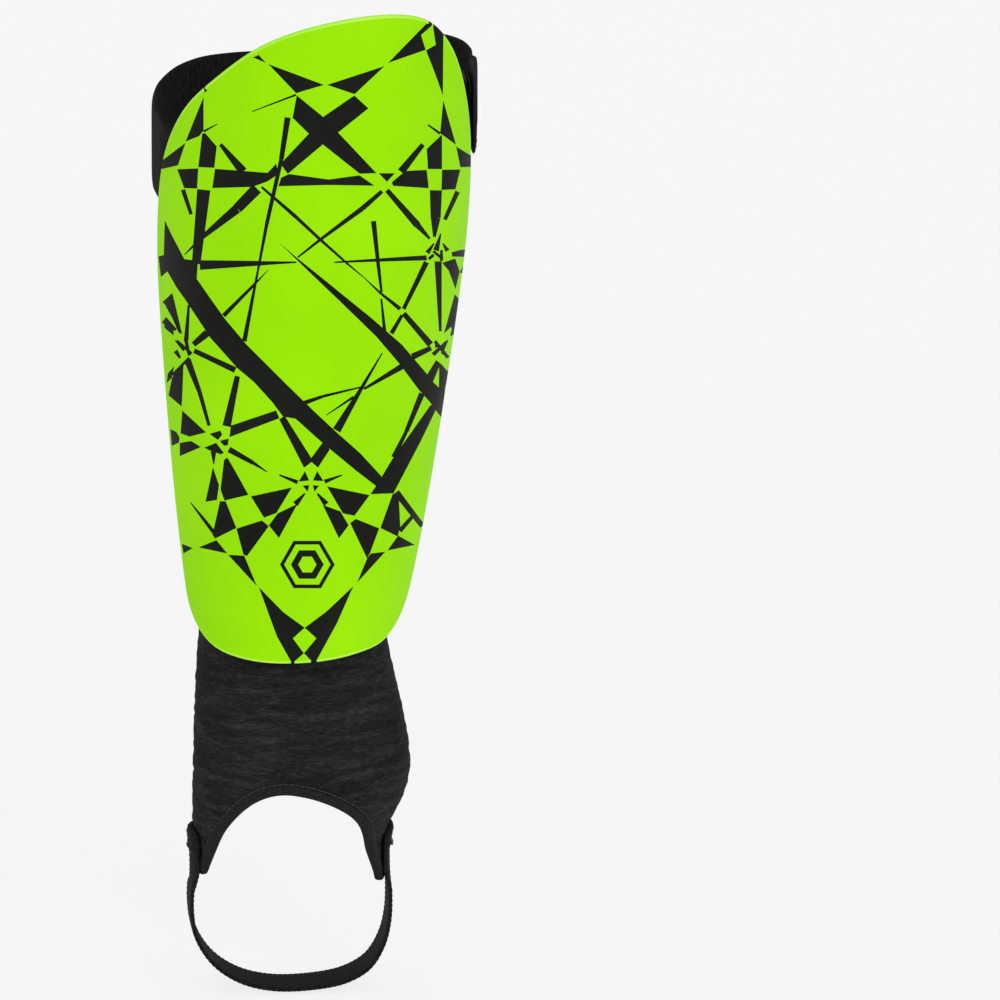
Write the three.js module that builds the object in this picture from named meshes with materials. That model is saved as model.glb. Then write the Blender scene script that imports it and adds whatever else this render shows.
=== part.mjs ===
// A football shin guard: a curved plastic shell on a foam pad, an elastic calf strap that closes
// with hook and loop, and an ankle sleeve with padded sides and an elastic stirrup.
// Millimetres. +Z runs up the leg and the shin faces -Y. The origin is on the leg's axis, level
// with the shell's lower edge.
import * as THREE from "three";

// ---- driving dimensions ----

// The shell follows a circle about the leg, whose radius and centre change with height.
const SHELL_RADIUS_AT_BOTTOM = 36.9;
const SHELL_FLARE = 0.162;
const SHELL_FLARE_LOSS = 0.00035;
const SHELL_AXIS_X = -5.9;
const SHELL_LEAN = 0.04;
const SHELL_AXIS_Y = 4.7;
const SHELL_MIDDLE = { angle: 0, z: 112 };

const SHELL_THICKNESS = 2;
const FOAM_THICKNESS = 4;
const LINING_THICKNESS = 0.8;
const LAYER_GAP = 0.3;
const FOAM_INSET = 2;
const LINING_INSET = 2.4;

// The calf strap climbs evenly towards +X. On the leg's axis its middle is at STRAP_HEIGHT.
const STRAP_WIDTH = 28;
const STRAP_THICKNESS = 1.4;
const STRAP_HEIGHT = 168.3;
const STRAP_CLIMB = 0.165;
const STRAP_HINGE = { x: -47.6, y: 8 };
const TAB_HINGE = { x: 53.6, y: 20.6 };
const HINGE_CLEARANCE = 0.6;
const TAB_TIP_Y = -4.5;
const PATCH_THICKNESS = 1;

const SLEEVE_WALL = 1.8;
const SLEEVE_FACETS = 48;
const SLEEVE_AXIS = { x: -6, y: 6 };
const SLEEVE_TOP = 40;
const HEM_HEIGHT = 4;
const HEM_PROUD = 0.3;
const FLEX_AXIS = { y: 2, z: -6 };
const FLEX_GAP_AT_SIDES = 2.4;
const FLEX_RELIEF_DEG = 16.5;
const EAR_TIP = -81.6;
const EAR_LEAN = -1.7;
const FRONT_ARCH = { top: -47.3, start: 0.25, roundness: 1.05, skew: 0.14 };
const HEEL_ARCH = { top: -46, start: 0.2, roundness: 1, skew: 0 };
const BINDING_HEIGHT = 3.6;
const BINDING_PROUD = 0.7;

const DISC_RADIUS = 17;
const DISC_THICKNESS = 4;
const DISC_CENTRE = { fromWidest: -4, z: -44 };
const POCKET_THICKNESS = 0.8;
const POCKET_MARGIN = 3;

const STIRRUP_WIDTH = 19;
const STIRRUP_THICKNESS = 1.6;
const STIRRUP_PIVOT_Z = -78;
const STIRRUP_END_RADIUS = 7;

const degrees = THREE.MathUtils.degToRad;
const mix = THREE.MathUtils.lerp;

// ---- closed solids from grids of points ----

// Makes a geometry from points and triangles, with its faces turned outwards.
function geometryOf(points, triangles) {
  const volume = triangles.reduce((sum, [a, b, c]) => {
    const normal = new THREE.Vector3().crossVectors(points[b], points[c]);
    return sum + points[a].dot(normal);
  }, 0);
  const facing = volume < 0 ? triangles.map(([a, b, c]) => [a, c, b]) : triangles;
  const geometry = new THREE.BufferGeometry().setFromPoints(points);
  geometry.setIndex(facing.flat());
  geometry.computeVertexNormals();
  return geometry;
}

// The solid between two layers of points. outer(i, j) and inner(i, j) give the points of row i and
// column j. A ring joins its last row to its first, and a disc is a ring closed at column 0 by a
// point in the middle of each layer.
function layered({ rows, columns, outer, inner, ring = false, middle = null }) {
  const points = [];
  for (const layer of [outer, inner]) {
    for (let i = 0; i < rows; i++) {
      for (let j = 0; j < columns; j++) points.push(layer(i, j));
    }
  }
  const at = (layer, i, j) => (layer * rows + (i % rows)) * columns + j;
  const triangles = [];
  const quad = (a, b, c, d) => triangles.push([a, b, c], [a, c, d]);
  const lastColumn = columns - 1;
  const steps = ring ? rows : rows - 1;
  for (let i = 0; i < steps; i++) {
    for (let j = 0; j < lastColumn; j++) {
      quad(at(0, i, j), at(0, i + 1, j), at(0, i + 1, j + 1), at(0, i, j + 1));
      quad(at(1, i, j), at(1, i, j + 1), at(1, i + 1, j + 1), at(1, i + 1, j));
    }
    quad(at(0, i, lastColumn), at(0, i + 1, lastColumn), at(1, i + 1, lastColumn), at(1, i, lastColumn));
    if (!middle) quad(at(0, i + 1, 0), at(0, i, 0), at(1, i, 0), at(1, i + 1, 0));
  }
  if (!ring) {
    const end = rows - 1;
    for (let j = 0; j < lastColumn; j++) {
      quad(at(0, 0, j), at(0, 0, j + 1), at(1, 0, j + 1), at(1, 0, j));
      quad(at(0, end, j + 1), at(0, end, j), at(1, end, j), at(1, end, j + 1));
    }
  }
  if (middle) {
    const first = points.push(...middle) - 2;
    for (let i = 0; i < rows; i++) {
      triangles.push([at(0, i + 1, 0), at(0, i, 0), first]);
      triangles.push([at(1, i, 0), at(1, i + 1, 0), first + 1]);
    }
  }
  return geometryOf(points, triangles);
}

// A smooth value along a short table of [position, value] stations in rising order.
function alongStations(position, stations) {
  const last = stations.length - 1;
  const inside = THREE.MathUtils.clamp(position, stations[0][0], stations[last][0]);
  let k = 0;
  while (k < last - 1 && inside > stations[k + 1][0]) k++;
  const slope = (a, b) => (stations[b][1] - stations[a][1]) / (stations[b][0] - stations[a][0]);
  const [x0, y0] = stations[k];
  const [x1, y1] = stations[k + 1];
  const width = x1 - x0;
  const startSlope = slope(Math.max(k - 1, 0), k + 1) * width;
  const endSlope = slope(k, Math.min(k + 2, last)) * width;
  const t = (inside - x0) / width;
  const risen = y1 * t * t * (3 - 2 * t) + y0 * (1 - t * t * (3 - 2 * t));
  return risen + startSlope * t * (1 - t) * (1 - t) - endSlope * t * t * (1 - t);
}

// ---- shell, foam and lining ----

const shellRadius = (z) => SHELL_RADIUS_AT_BOTTOM + SHELL_FLARE * z - SHELL_FLARE_LOSS * z * z;

// A point of the shin pad: angle is round the leg from the front, depth is inwards from the face.
function padPoint(angleDeg, z, depth) {
  const radius = shellRadius(z) - depth;
  const angle = degrees(angleDeg);
  const axisX = SHELL_AXIS_X + SHELL_LEAN * z;
  return new THREE.Vector3(axisX + radius * Math.sin(angle), SHELL_AXIS_Y - radius * Math.cos(angle), z);
}

// The shell's outline, as degrees round the leg and height, from the middle of the lower edge up
// the +X side. The top climbs to a corner on the +X side.
const SHELL_OUTLINE = [
  [0, 0],
  [30, 1.6],
  [50, 4.4],
  [64.5, 14],
  [69.5, 31],
  [73, 95],
  [76, 140],
  [70, 168],
  [59.5, 192],
  [48, 209.5],
  [36, 219.5],
  [20, 223.3],
  [-2, 221.4],
  [-22, 214.3],
  [-42, 200],
  [-58, 185.5],
  [-71, 165],
  [-77, 136],
  [-75, 95],
  [-71, 32],
  [-67, 13.5],
  [-52, 3.8],
  [-30, 0.4],
];

// The outline as evenly spaced points, drawn in by the inset. Degrees are turned into millimetres
// of arc and back, so that the inset is the same all round.
function outlinePoints(count, inset) {
  const corners = SHELL_OUTLINE.map(([angle, z]) => new THREE.Vector3(degrees(angle) * shellRadius(z), z, 0));
  const curve = new THREE.CatmullRomCurve3(corners, true, "centripetal");
  return Array.from({ length: count }, (_, i) => {
    const point = curve.getPointAt(i / count);
    const tangent = curve.getTangentAt(i / count);
    const z = point.y + tangent.x * inset;
    const arc = point.x - tangent.y * inset;
    return { angle: THREE.MathUtils.radToDeg(arc / shellRadius(z)), z };
  });
}

// One layer of the pad, from a depth inwards, with its outline drawn in by the inset.
function padLayer(outerDepth, thickness, inset) {
  const around = 56;
  const rings = 7;
  const outline = outlinePoints(around, inset);
  const point = (i, j, depth) => {
    const share = (j + 1) / rings;
    const angle = mix(SHELL_MIDDLE.angle, outline[i].angle, share);
    return padPoint(angle, mix(SHELL_MIDDLE.z, outline[i].z, share), depth);
  };
  const innerDepth = outerDepth + thickness;
  return layered({
    rows: around,
    columns: rings,
    outer: (i, j) => point(i, j, outerDepth),
    inner: (i, j) => point(i, j, innerDepth),
    ring: true,
    middle: [outerDepth, innerDepth].map((depth) => padPoint(SHELL_MIDDLE.angle, SHELL_MIDDLE.z, depth)),
  });
}

const FOAM_DEPTH = SHELL_THICKNESS + LAYER_GAP;
const LINING_DEPTH = FOAM_DEPTH + FOAM_THICKNESS + LAYER_GAP;
const PAD_DEPTH = LINING_DEPTH + LINING_THICKNESS;

// ---- calf strap ----

// Lifts the strap from its level drawing, at height 0, to where it climbs round the leg.
const strapClimb = new THREE.Matrix4().makeShear(0, STRAP_CLIMB, 0, 0, 0, 0).setPosition(0, 0, STRAP_HEIGHT);

// The end of a strap that is sewn inside the pad. It lies on the lining from one angle to another,
// and then leads to a point of the level drawing.
function sewnEnd(fromAngle, toAngle, leadTo, thickness) {
  const onPad = 6;
  const free = 5;
  const half = STRAP_WIDTH / 2;
  const clearance = 3 * LAYER_GAP;
  const onLining = (share, across, depth) => {
    const angle = mix(fromAngle, toAngle, share);
    const flat = padPoint(angle, STRAP_HEIGHT, PAD_DEPTH);
    return padPoint(angle, STRAP_HEIGHT + flat.x * STRAP_CLIMB + across, PAD_DEPTH + clearance + depth);
  };
  const side = Math.sign(leadTo.x);
  const lead = (across, depth) =>
    new THREE.Vector3(leadTo.x - side * depth, leadTo.y, across).applyMatrix4(strapClimb);
  const point = (i, j, depth) => {
    const across = mix(-half, half, j);
    if (i < onPad) return onLining(i / (onPad - 1), across, depth);
    const share = (i - onPad + 1) / free;
    const start = onLining(1, across, depth);
    return start.lerp(lead(across, depth), share);
  };
  return layered({
    rows: onPad + free,
    columns: 2,
    outer: (i, j) => point(i, j, 0),
    inner: (i, j) => point(i, j, thickness),
  });
}

// A band that stands across its path, which is a list of [x, y].
function band(path, steps, { thickness, width }) {
  const curve = new THREE.CatmullRomCurve3(path.map(([x, y]) => new THREE.Vector3(x, y, 0)));
  const half = width / 2;
  const point = (i, j, offset) => {
    const centre = curve.getPointAt(i / steps);
    const tangent = curve.getTangentAt(i / steps);
    const x = centre.x + tangent.y * offset;
    return new THREE.Vector3(x, centre.y - tangent.x * offset, mix(-half, half, j));
  };
  return layered({
    rows: steps + 1,
    columns: 2,
    outer: (i, j) => point(i, j, thickness / 2),
    inner: (i, j) => point(i, j, -thickness / 2),
  });
}

// The strap's line from the seam on the -X side round the calf to the tab on the +X side.
const STRAP_PATH = [
  [STRAP_HINGE.x - 0.1, STRAP_HINGE.y + HINGE_CLEARANCE],
  [-49, 18],
  [-49.6, 32],
  [-48.4, 48],
  [-44.8, 65],
  [-37.8, 79],
  [-30, 84],
  [-20.5, 82.5],
  [-9, 77],
  [6, 72.5],
  [20, 70],
  [34, 67.5],
  [45.8, 60],
  [52.3, 48],
  [54.8, 36],
  [54.8, 28.5],
  [TAB_HINGE.x, TAB_HINGE.y + 2 * HINGE_CLEARANCE],
];

const TAB_BACK_Y = TAB_HINGE.y - HINGE_CLEARANCE;
const TAB_INNER_X = TAB_HINGE.x - STRAP_THICKNESS / 2;
const HOOK_CENTRE_X = TAB_INNER_X - LAYER_GAP - PATCH_THICKNESS / 2;
const LOOP_CENTRE_X = HOOK_CENTRE_X - LAYER_GAP - PATCH_THICKNESS;
const ANCHOR_OUTER_X = LOOP_CENTRE_X - PATCH_THICKNESS / 2 - LAYER_GAP;

// A flat rectangle of webbing or tape that faces +X, with rounded corners at its front end.
function flatPiece(centreX, fromY, toY, { thickness, width, corner }) {
  const half = width / 2;
  const outline = new THREE.Shape()
    .moveTo(toY, -half)
    .lineTo(toY, half)
    .lineTo(fromY + corner, half)
    .quadraticCurveTo(fromY, half, fromY, half - corner)
    .lineTo(fromY, corner - half)
    .quadraticCurveTo(fromY, -half, fromY + corner, -half);
  const settings = { depth: thickness, bevelEnabled: false, curveSegments: 4 };
  const geometry = new THREE.ExtrudeGeometry(outline, settings);
  const axes = new THREE.Matrix4().makeBasis(
    new THREE.Vector3(0, 1, 0),
    new THREE.Vector3(0, 0, 1),
    new THREE.Vector3(1, 0, 0),
  );
  return geometry.applyMatrix4(axes).translate(centreX - thickness / 2, 0, 0);
}

// ---- ankle sleeve ----

// Half-widths of the sleeve's oval from its axis: towards -X, +X, the shin and the heel.
const SLEEVE_LEFT = [
  [-80, 32.2],
  [-70, 32.4],
  [-60, 33.4],
  [-42, 33],
  [-20, 32.5],
  [0, 31.2],
  [15, 29.6],
  [40, 29],
];
const SLEEVE_RIGHT = [
  [-80, 29.8],
  [-70, 29.8],
  [-64, 32],
  [-54, 37],
  [-42, 38.8],
  [-22, 35.5],
  [0, 30.8],
  [15, 29.5],
  [40, 29.5],
];
const SLEEVE_FRONT = [
  [-80, 29],
  [-50, 30],
  [-20, 30],
  [0, 29],
  [20, 31.4],
  [40, 34.2],
];
const SLEEVE_BACK = [
  [-80, 18.5],
  [-40, 21],
  [0, 19],
  [40, 19],
];

// A point of the sleeve: angle is 0 on the +X side and 90 at the heel, depth is inwards.
function sleevePoint(angleDeg, z, depth) {
  const angle = degrees(angleDeg);
  const across = alongStations(z, Math.cos(angle) > 0 ? SLEEVE_RIGHT : SLEEVE_LEFT) - depth;
  const along = alongStations(z, Math.sin(angle) > 0 ? SLEEVE_BACK : SLEEVE_FRONT) - depth;
  const x = SLEEVE_AXIS.x + across * Math.cos(angle);
  return new THREE.Vector3(x, SLEEVE_AXIS.y + along * Math.sin(angle), z);
}

// The height of the sleeve's lower edge: an arch over the foot, an arch at the heel and an ear
// between them on each side. The ear at +X reaches lower, and the top of the front arch is
// towards -X.
function lowerEdge(angleDeg) {
  const sine = Math.sin(degrees(angleDeg));
  const cosine = Math.cos(degrees(angleDeg));
  const arch = sine > 0 ? HEEL_ARCH : FRONT_ARCH;
  const fromTop = cosine + arch.skew * Math.pow(sine, 4);
  const steepness = Math.sqrt(Math.max(0, 1 - fromTop * fromTop));
  const rise = Math.max(0, (steepness - arch.start) / (1 - arch.start));
  const tip = EAR_TIP + EAR_LEAN * cosine;
  return mix(tip, arch.top, Math.pow(rise, arch.roundness));
}

// The height of the lower sleeve's upper edge, cut back from the flex axis towards front and heel.
function flexEdge(angleDeg) {
  const y = sleevePoint(angleDeg, FLEX_AXIS.z, 0).y;
  const relief = Math.abs(y - FLEX_AXIS.y) * Math.tan(degrees(FLEX_RELIEF_DEG));
  return FLEX_AXIS.z - FLEX_GAP_AT_SIDES / 2 - relief;
}

// A tube or part of a tube of the sleeve, between two heights that may change round the leg.
function sleevePiece({ top, bottom, rows, from = 0, to = 360, proud = 0 }) {
  const ring = to - from === 360;
  const steps = ((to - from) * SLEEVE_FACETS) / 360;
  const angleAt = (i) => mix(from, to, i / steps);
  const point = (i, j, inwards) => {
    const angle = angleAt(i);
    return sleevePoint(angle, mix(top(angle), bottom(angle), j / rows), inwards);
  };
  return layered({
    rows: ring ? steps : steps + 1,
    columns: rows + 1,
    outer: (i, j) => point(i, j, -proud),
    inner: (i, j) => point(i, j, SLEEVE_WALL + proud),
    ring,
  });
}

const UPPER_EDGE_Z = FLEX_AXIS.z + FLEX_GAP_AT_SIDES / 2;

// A round pad on the inside of the sleeve, on the side that the angle says.
function sidePad(sideAngle, depth, thickness, radius) {
  const around = 20;
  const rings = 3;
  const facing = Math.cos(degrees(sideAngle));
  const point = (spoke, share, inwards) => {
    const turn = (2 * Math.PI * spoke) / around;
    const fromWidest = DISC_CENTRE.fromWidest + radius * share * Math.cos(turn);
    const z = DISC_CENTRE.z + radius * share * Math.sin(turn);
    const reach = alongStations(z, fromWidest > 0 ? SLEEVE_BACK : SLEEVE_FRONT);
    const angle = THREE.MathUtils.radToDeg(Math.asin(fromWidest / reach));
    return sleevePoint(facing > 0 ? angle : 180 - angle, z, inwards);
  };
  return layered({
    rows: around,
    columns: rings,
    outer: (i, j) => point(i, (j + 1) / rings, depth),
    inner: (i, j) => point(i, (j + 1) / rings, depth + thickness),
    ring: true,
    middle: [point(0, 0, depth), point(0, 0, depth + thickness)],
  });
}

const DISC_DEPTH = SLEEVE_WALL + 2.4 * LAYER_GAP;
const POCKET_DEPTH = DISC_DEPTH + DISC_THICKNESS + 2 * LAYER_GAP;

// The patch that joins the sleeve's front to the pad's lining, between the two.
function sleevePanel() {
  const reach = 26;
  const low = 8;
  const high = 33;
  const gapToLining = 2 * LAYER_GAP;
  const thickness = 0.6;
  const steps = 8;
  const rows = 3;
  const point = (i, j, depth) => {
    const angle = mix(-reach, reach, i / steps);
    return padPoint(angle, mix(low, high, j / rows), PAD_DEPTH + gapToLining + depth);
  };
  return layered({
    rows: steps + 1,
    columns: rows + 1,
    outer: (i, j) => point(i, j, 0),
    inner: (i, j) => point(i, j, thickness),
  });
}

// ---- stirrup ----

// The stirrup's outer line in the plane of its legs, from the -X ear under the foot to the +X ear.
const STIRRUP_SOLE_Z = -120.3;
const STIRRUP_LEFT_LEG = [
  [-40.4, STIRRUP_PIVOT_Z + STIRRUP_END_RADIUS],
  [-40.5, -82],
  [-40.9, -92],
  [-39.4, -101.5],
  [-33.8, -110.8],
  [-25, -117.2],
];
const STIRRUP_SOLE = [
  [-14, STIRRUP_SOLE_Z],
  [0, STIRRUP_SOLE_Z],
];
const STIRRUP_RIGHT_LEG = [
  [11.4, -118.1],
  [19.3, -113.4],
  [24, -105.8],
  [26.1, -97.4],
  [26.5, -88],
  [26.2, -80],
  [26.2, STIRRUP_PIVOT_Z + STIRRUP_END_RADIUS],
];

function stirrup() {
  const curveOf = (path) => new THREE.CatmullRomCurve3(path.map(([x, z]) => new THREE.Vector3(x, 0, z)));
  const legSteps = 20;
  const left = curveOf([...STIRRUP_LEFT_LEG, STIRRUP_SOLE[0]]).getSpacedPoints(legSteps);
  const right = curveOf([STIRRUP_SOLE[1], ...STIRRUP_RIGHT_LEG]).getSpacedPoints(legSteps);
  const line = [...left, ...right];
  const half = STIRRUP_WIDTH / 2;
  const halfAt = (z) => {
    const past = Math.max(0, z - STIRRUP_PIVOT_Z) / STIRRUP_END_RADIUS;
    return Math.max(half * Math.sqrt(Math.max(0, 1 - past * past)), 2.5);
  };
  const point = (i, j, depth) => {
    const before = line[Math.max(i - 1, 0)];
    const after = line[Math.min(i + 1, line.length - 1)];
    const run = new THREE.Vector3().subVectors(after, before).normalize();
    const reach = halfAt(line[i].z);
    const x = line[i].x - run.z * depth;
    return new THREE.Vector3(x, SLEEVE_AXIS.y + mix(-reach, reach, j), line[i].z + run.x * depth);
  };
  return layered({
    rows: line.length,
    columns: 2,
    outer: (i, j) => point(i, j, 0),
    inner: (i, j) => point(i, j, STIRRUP_THICKNESS),
  });
}

// ---- materials ----

const paint = (color, roughness) => new THREE.MeshStandardMaterial({ color, roughness, metalness: 0 });
const greenPlastic = paint(0x8fe000, 0.35);
const blackFoam = paint(0x1b1b1c, 0.9);
const blackLining = paint(0x242426, 0.95);
const blackElastic = paint(0x1c1c1a, 0.85);
const blackKnit = paint(0x202122, 0.9);
const blackTape = paint(0x29292a, 0.8);
const blackHook = paint(0x141415, 0.6);
const blackPile = paint(0x2b2b2d, 1);

// ---- assembly ----

const guard = new THREE.Group();

function add(name, geometry, material) {
  const mesh = new THREE.Mesh(geometry, material);
  mesh.name = name;
  guard.add(mesh);
}

function addPad() {
  add("shell", padLayer(0, SHELL_THICKNESS, 0), greenPlastic);
  add("backing_foam", padLayer(FOAM_DEPTH, FOAM_THICKNESS, FOAM_INSET), blackFoam);
  add("backing_lining", padLayer(LINING_DEPTH, LINING_THICKNESS, LINING_INSET), blackLining);
  add("sleeve_sewing_panel", sleevePanel(), blackTape);
}

function addStrap() {
  const addClimbing = (name, geometry, material) => add(name, geometry.applyMatrix4(strapClimb), material);
  const tailLead = { x: STRAP_HINGE.x - STRAP_THICKNESS / 2, y: STRAP_HINGE.y - HINGE_CLEARANCE };
  add("strap_sewn_tail", sewnEnd(-44, -66, tailLead, STRAP_THICKNESS), blackElastic);
  const anchorLead = { x: ANCHOR_OUTER_X, y: TAB_TIP_Y + 4.5 };
  add("strap_anchor_inner", sewnEnd(42, 63, anchorLead, STRAP_THICKNESS), blackElastic);

  const webbing = { thickness: STRAP_THICKNESS, width: STRAP_WIDTH, corner: 0 };
  const tabWebbing = { ...webbing, corner: 6 };
  const patch = { thickness: PATCH_THICKNESS, width: STRAP_WIDTH - 4, corner: 3 };
  const anchorX = ANCHOR_OUTER_X - STRAP_THICKNESS / 2;
  const anchorY = anchorLead.y + LAYER_GAP;
  addClimbing("strap_anchor", flatPiece(anchorX, anchorY, TAB_BACK_Y, webbing), blackElastic);
  addClimbing("loop_patch", flatPiece(LOOP_CENTRE_X, anchorY, 17, patch), blackPile);
  addClimbing("calf_strap", band(STRAP_PATH, 44, webbing), blackElastic);
  addClimbing("strap_tab", flatPiece(TAB_HINGE.x, TAB_TIP_Y, TAB_BACK_Y, tabWebbing), blackTape);
  addClimbing("hook_patch", flatPiece(HOOK_CENTRE_X, TAB_TIP_Y + 2.5, 13, patch), blackHook);
}

function addSleeve() {
  const level = (z) => () => z;
  const bound = (angle) => lowerEdge(angle) + BINDING_HEIGHT;
  const hemBottom = level(SLEEVE_TOP - HEM_HEIGHT);
  const sewnTop = level(SLEEVE_TOP - HEM_HEIGHT - LAYER_GAP);
  const flexTop = level(UPPER_EDGE_Z - LAYER_GAP);
  const flexBottom = (angle) => flexEdge(angle) + LAYER_GAP;
  const boundTop = (angle) => bound(angle) + 2 * LAYER_GAP;
  const hem = sleevePiece({ top: level(SLEEVE_TOP), bottom: hemBottom, rows: 1, proud: HEM_PROUD });
  add("sleeve_hem", hem, blackTape);
  add("sleeve_upper", sleevePiece({ top: sewnTop, bottom: level(UPPER_EDGE_Z), rows: 4 }), blackKnit);
  add("sleeve_flex_zone", sleevePiece({ top: flexTop, bottom: flexBottom, rows: 1 }), blackKnit);
  add("sleeve_lower", sleevePiece({ top: flexEdge, bottom: boundTop, rows: 6 }), blackKnit);
  const edge = { top: bound, bottom: lowerEdge, rows: 1, proud: BINDING_PROUD };
  add("arch_binding", sleevePiece({ ...edge, from: -165, to: -15 }), blackTape);
  add("heel_binding", sleevePiece({ ...edge, from: 22.5, to: 157.5 }), blackTape);
}

function addSidePads() {
  for (const [side, angle] of [
    ["left", 180],
    ["right", 0],
  ]) {
    add(`ankle_disc_${side}`, sidePad(angle, DISC_DEPTH, DISC_THICKNESS, DISC_RADIUS), blackFoam);
    const pocketRadius = DISC_RADIUS + POCKET_MARGIN;
    add(`disc_pocket_${side}`, sidePad(angle, POCKET_DEPTH, POCKET_THICKNESS, pocketRadius), blackLining);
  }
}

addPad();
addStrap();
addSleeve();
addSidePads();
add("stirrup", stirrup(), blackElastic);

export default guard;
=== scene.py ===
"""A football shin guard: a printed plastic shell on a foam pad, an elastic calf strap with a
hook-and-loop tab, and a knitted ankle sleeve with side pads and an elastic stirrup.

The shape functions work in millimetres in the frame of the CAD model, and the meshes are in
metres. +Z runs up the leg and the shin faces -Y.
"""

import math

import bpy
import numpy as np
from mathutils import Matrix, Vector
from mathutils.geometry import delaunay_2d_cdt
from mathutils.noise import noise


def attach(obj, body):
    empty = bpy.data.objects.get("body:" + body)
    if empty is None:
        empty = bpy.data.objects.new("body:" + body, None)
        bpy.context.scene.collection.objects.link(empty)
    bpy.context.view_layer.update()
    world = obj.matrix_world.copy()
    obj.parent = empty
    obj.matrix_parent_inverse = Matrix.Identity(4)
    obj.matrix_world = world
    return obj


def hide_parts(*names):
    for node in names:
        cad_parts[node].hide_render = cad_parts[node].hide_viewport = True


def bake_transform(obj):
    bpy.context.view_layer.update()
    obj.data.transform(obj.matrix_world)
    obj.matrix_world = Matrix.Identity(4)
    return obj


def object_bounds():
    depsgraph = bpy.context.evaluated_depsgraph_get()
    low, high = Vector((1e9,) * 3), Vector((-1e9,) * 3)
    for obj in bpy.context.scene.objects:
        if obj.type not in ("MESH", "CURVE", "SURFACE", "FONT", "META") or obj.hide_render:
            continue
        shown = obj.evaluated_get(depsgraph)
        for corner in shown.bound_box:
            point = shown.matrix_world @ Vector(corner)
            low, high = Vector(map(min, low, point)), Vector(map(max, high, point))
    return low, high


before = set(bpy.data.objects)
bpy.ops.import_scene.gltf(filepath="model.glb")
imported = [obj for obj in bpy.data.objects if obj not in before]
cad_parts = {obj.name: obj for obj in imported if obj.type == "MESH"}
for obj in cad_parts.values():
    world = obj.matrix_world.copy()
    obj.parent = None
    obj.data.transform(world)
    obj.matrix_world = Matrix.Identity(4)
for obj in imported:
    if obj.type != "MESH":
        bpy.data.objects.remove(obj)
cad_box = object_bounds()

MM = 0.001
UP = Vector((0, 0, 1))

# ---- camera ----

VIEW_AZIMUTH = math.radians(-4.5)
VIEW_ELEVATION = math.radians(15)
PICTURE_WIDTH = 330  # what the picture spans at the object
CAMERA_DISTANCE = 10000
AIM_RIGHT = 62
AIM_UP = 45.5

view_back = Vector((
    math.sin(VIEW_AZIMUTH) * math.cos(VIEW_ELEVATION),
    -math.cos(VIEW_AZIMUTH) * math.cos(VIEW_ELEVATION),
    math.sin(VIEW_ELEVATION),
))
view_right = Vector((math.cos(VIEW_AZIMUTH), math.sin(VIEW_AZIMUTH), 0))
view_up = view_back.cross(view_right)


def make_camera():
    data = bpy.data.cameras.new("camera")
    data.lens = data.sensor_width * CAMERA_DISTANCE / PICTURE_WIDTH
    data.clip_start = 0.5
    data.clip_end = 100
    camera = bpy.data.objects.new("camera", data)
    target = view_right * AIM_RIGHT + view_up * AIM_UP
    camera.location = (target + view_back * CAMERA_DISTANCE) * MM
    camera.rotation_euler = view_back.to_track_quat("Z", "Y").to_euler()
    bpy.context.scene.collection.objects.link(camera)
    bpy.context.scene.camera = camera


# ---- materials ----


def linear(red, green, blue):
    """A colour given as 0 to 255 display values, as the shader wants it."""
    def one(value):
        share = value / 255
        return share / 12.92 if share <= 0.04045 else ((share + 0.055) / 1.055) ** 2.4
    return (one(red), one(green), one(blue), 1)


class Shader:
    """A material whose nodes are made one after another."""

    def __init__(self, name, roughness, specular=0.3, ior=1.4, sheen=0.0):
        self.material = bpy.data.materials.new(name)
        self.material.use_nodes = True
        self.tree = self.material.node_tree
        self.surface = self.tree.nodes["Principled BSDF"]
        self.surface.inputs["Roughness"].default_value = roughness
        self.surface.inputs["Specular IOR Level"].default_value = specular
        self.surface.inputs["IOR"].default_value = ior
        if sheen:
            self.surface.inputs["Sheen Weight"].default_value = sheen
            self.surface.inputs["Sheen Roughness"].default_value = 0.5
        self.place = self.tree.nodes.new("ShaderNodeTexCoord").outputs["Object"]

    def node(self, kind, inputs, **settings):
        """A node of a kind. inputs gives its sockets a link or a value, by name or by number."""
        made = self.tree.nodes.new("ShaderNode" + kind)
        for name, value in settings.items():
            setattr(made, name, value)
        for name, value in inputs.items():
            if isinstance(value, bpy.types.NodeSocket):
                self.tree.links.new(value, made.inputs[name])
            else:
                made.inputs[name].default_value = value
        return made

    def grain(self, scale, detail=2.0, stretch=(1, 1, 1)):
        place = self.node("Mapping", {"Vector": self.place, "Scale": stretch}).outputs["Vector"]
        return self.node("TexNoise", {"Vector": place, "Scale": scale, "Detail": detail}).outputs["Fac"]

    def ramp(self, factor, *stops):
        made = self.node("ValToRGB", {"Fac": factor})
        elements = made.color_ramp.elements
        while len(elements) < len(stops):
            elements.new(0.5)
        for element, (position, colour) in zip(elements, stops):
            element.position = position
            element.color = colour
        return made.outputs["Color"]

    def colour(self, output):
        self.tree.links.new(output, self.surface.inputs["Base Color"])

    def roughness(self, factor, low, high):
        made = self.node("MapRange", {"Value": factor, "To Min": low, "To Max": high})
        self.tree.links.new(made.outputs["Result"], self.surface.inputs["Roughness"])

    def bump(self, height, depth_mm, below=None):
        inputs = {"Height": height, "Distance": depth_mm * MM, "Strength": 1.0}
        if below is not None:
            inputs["Normal"] = below
        made = self.node("Bump", inputs)
        self.tree.links.new(made.outputs["Normal"], self.surface.inputs["Normal"])
        return made.outputs["Normal"]


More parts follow.
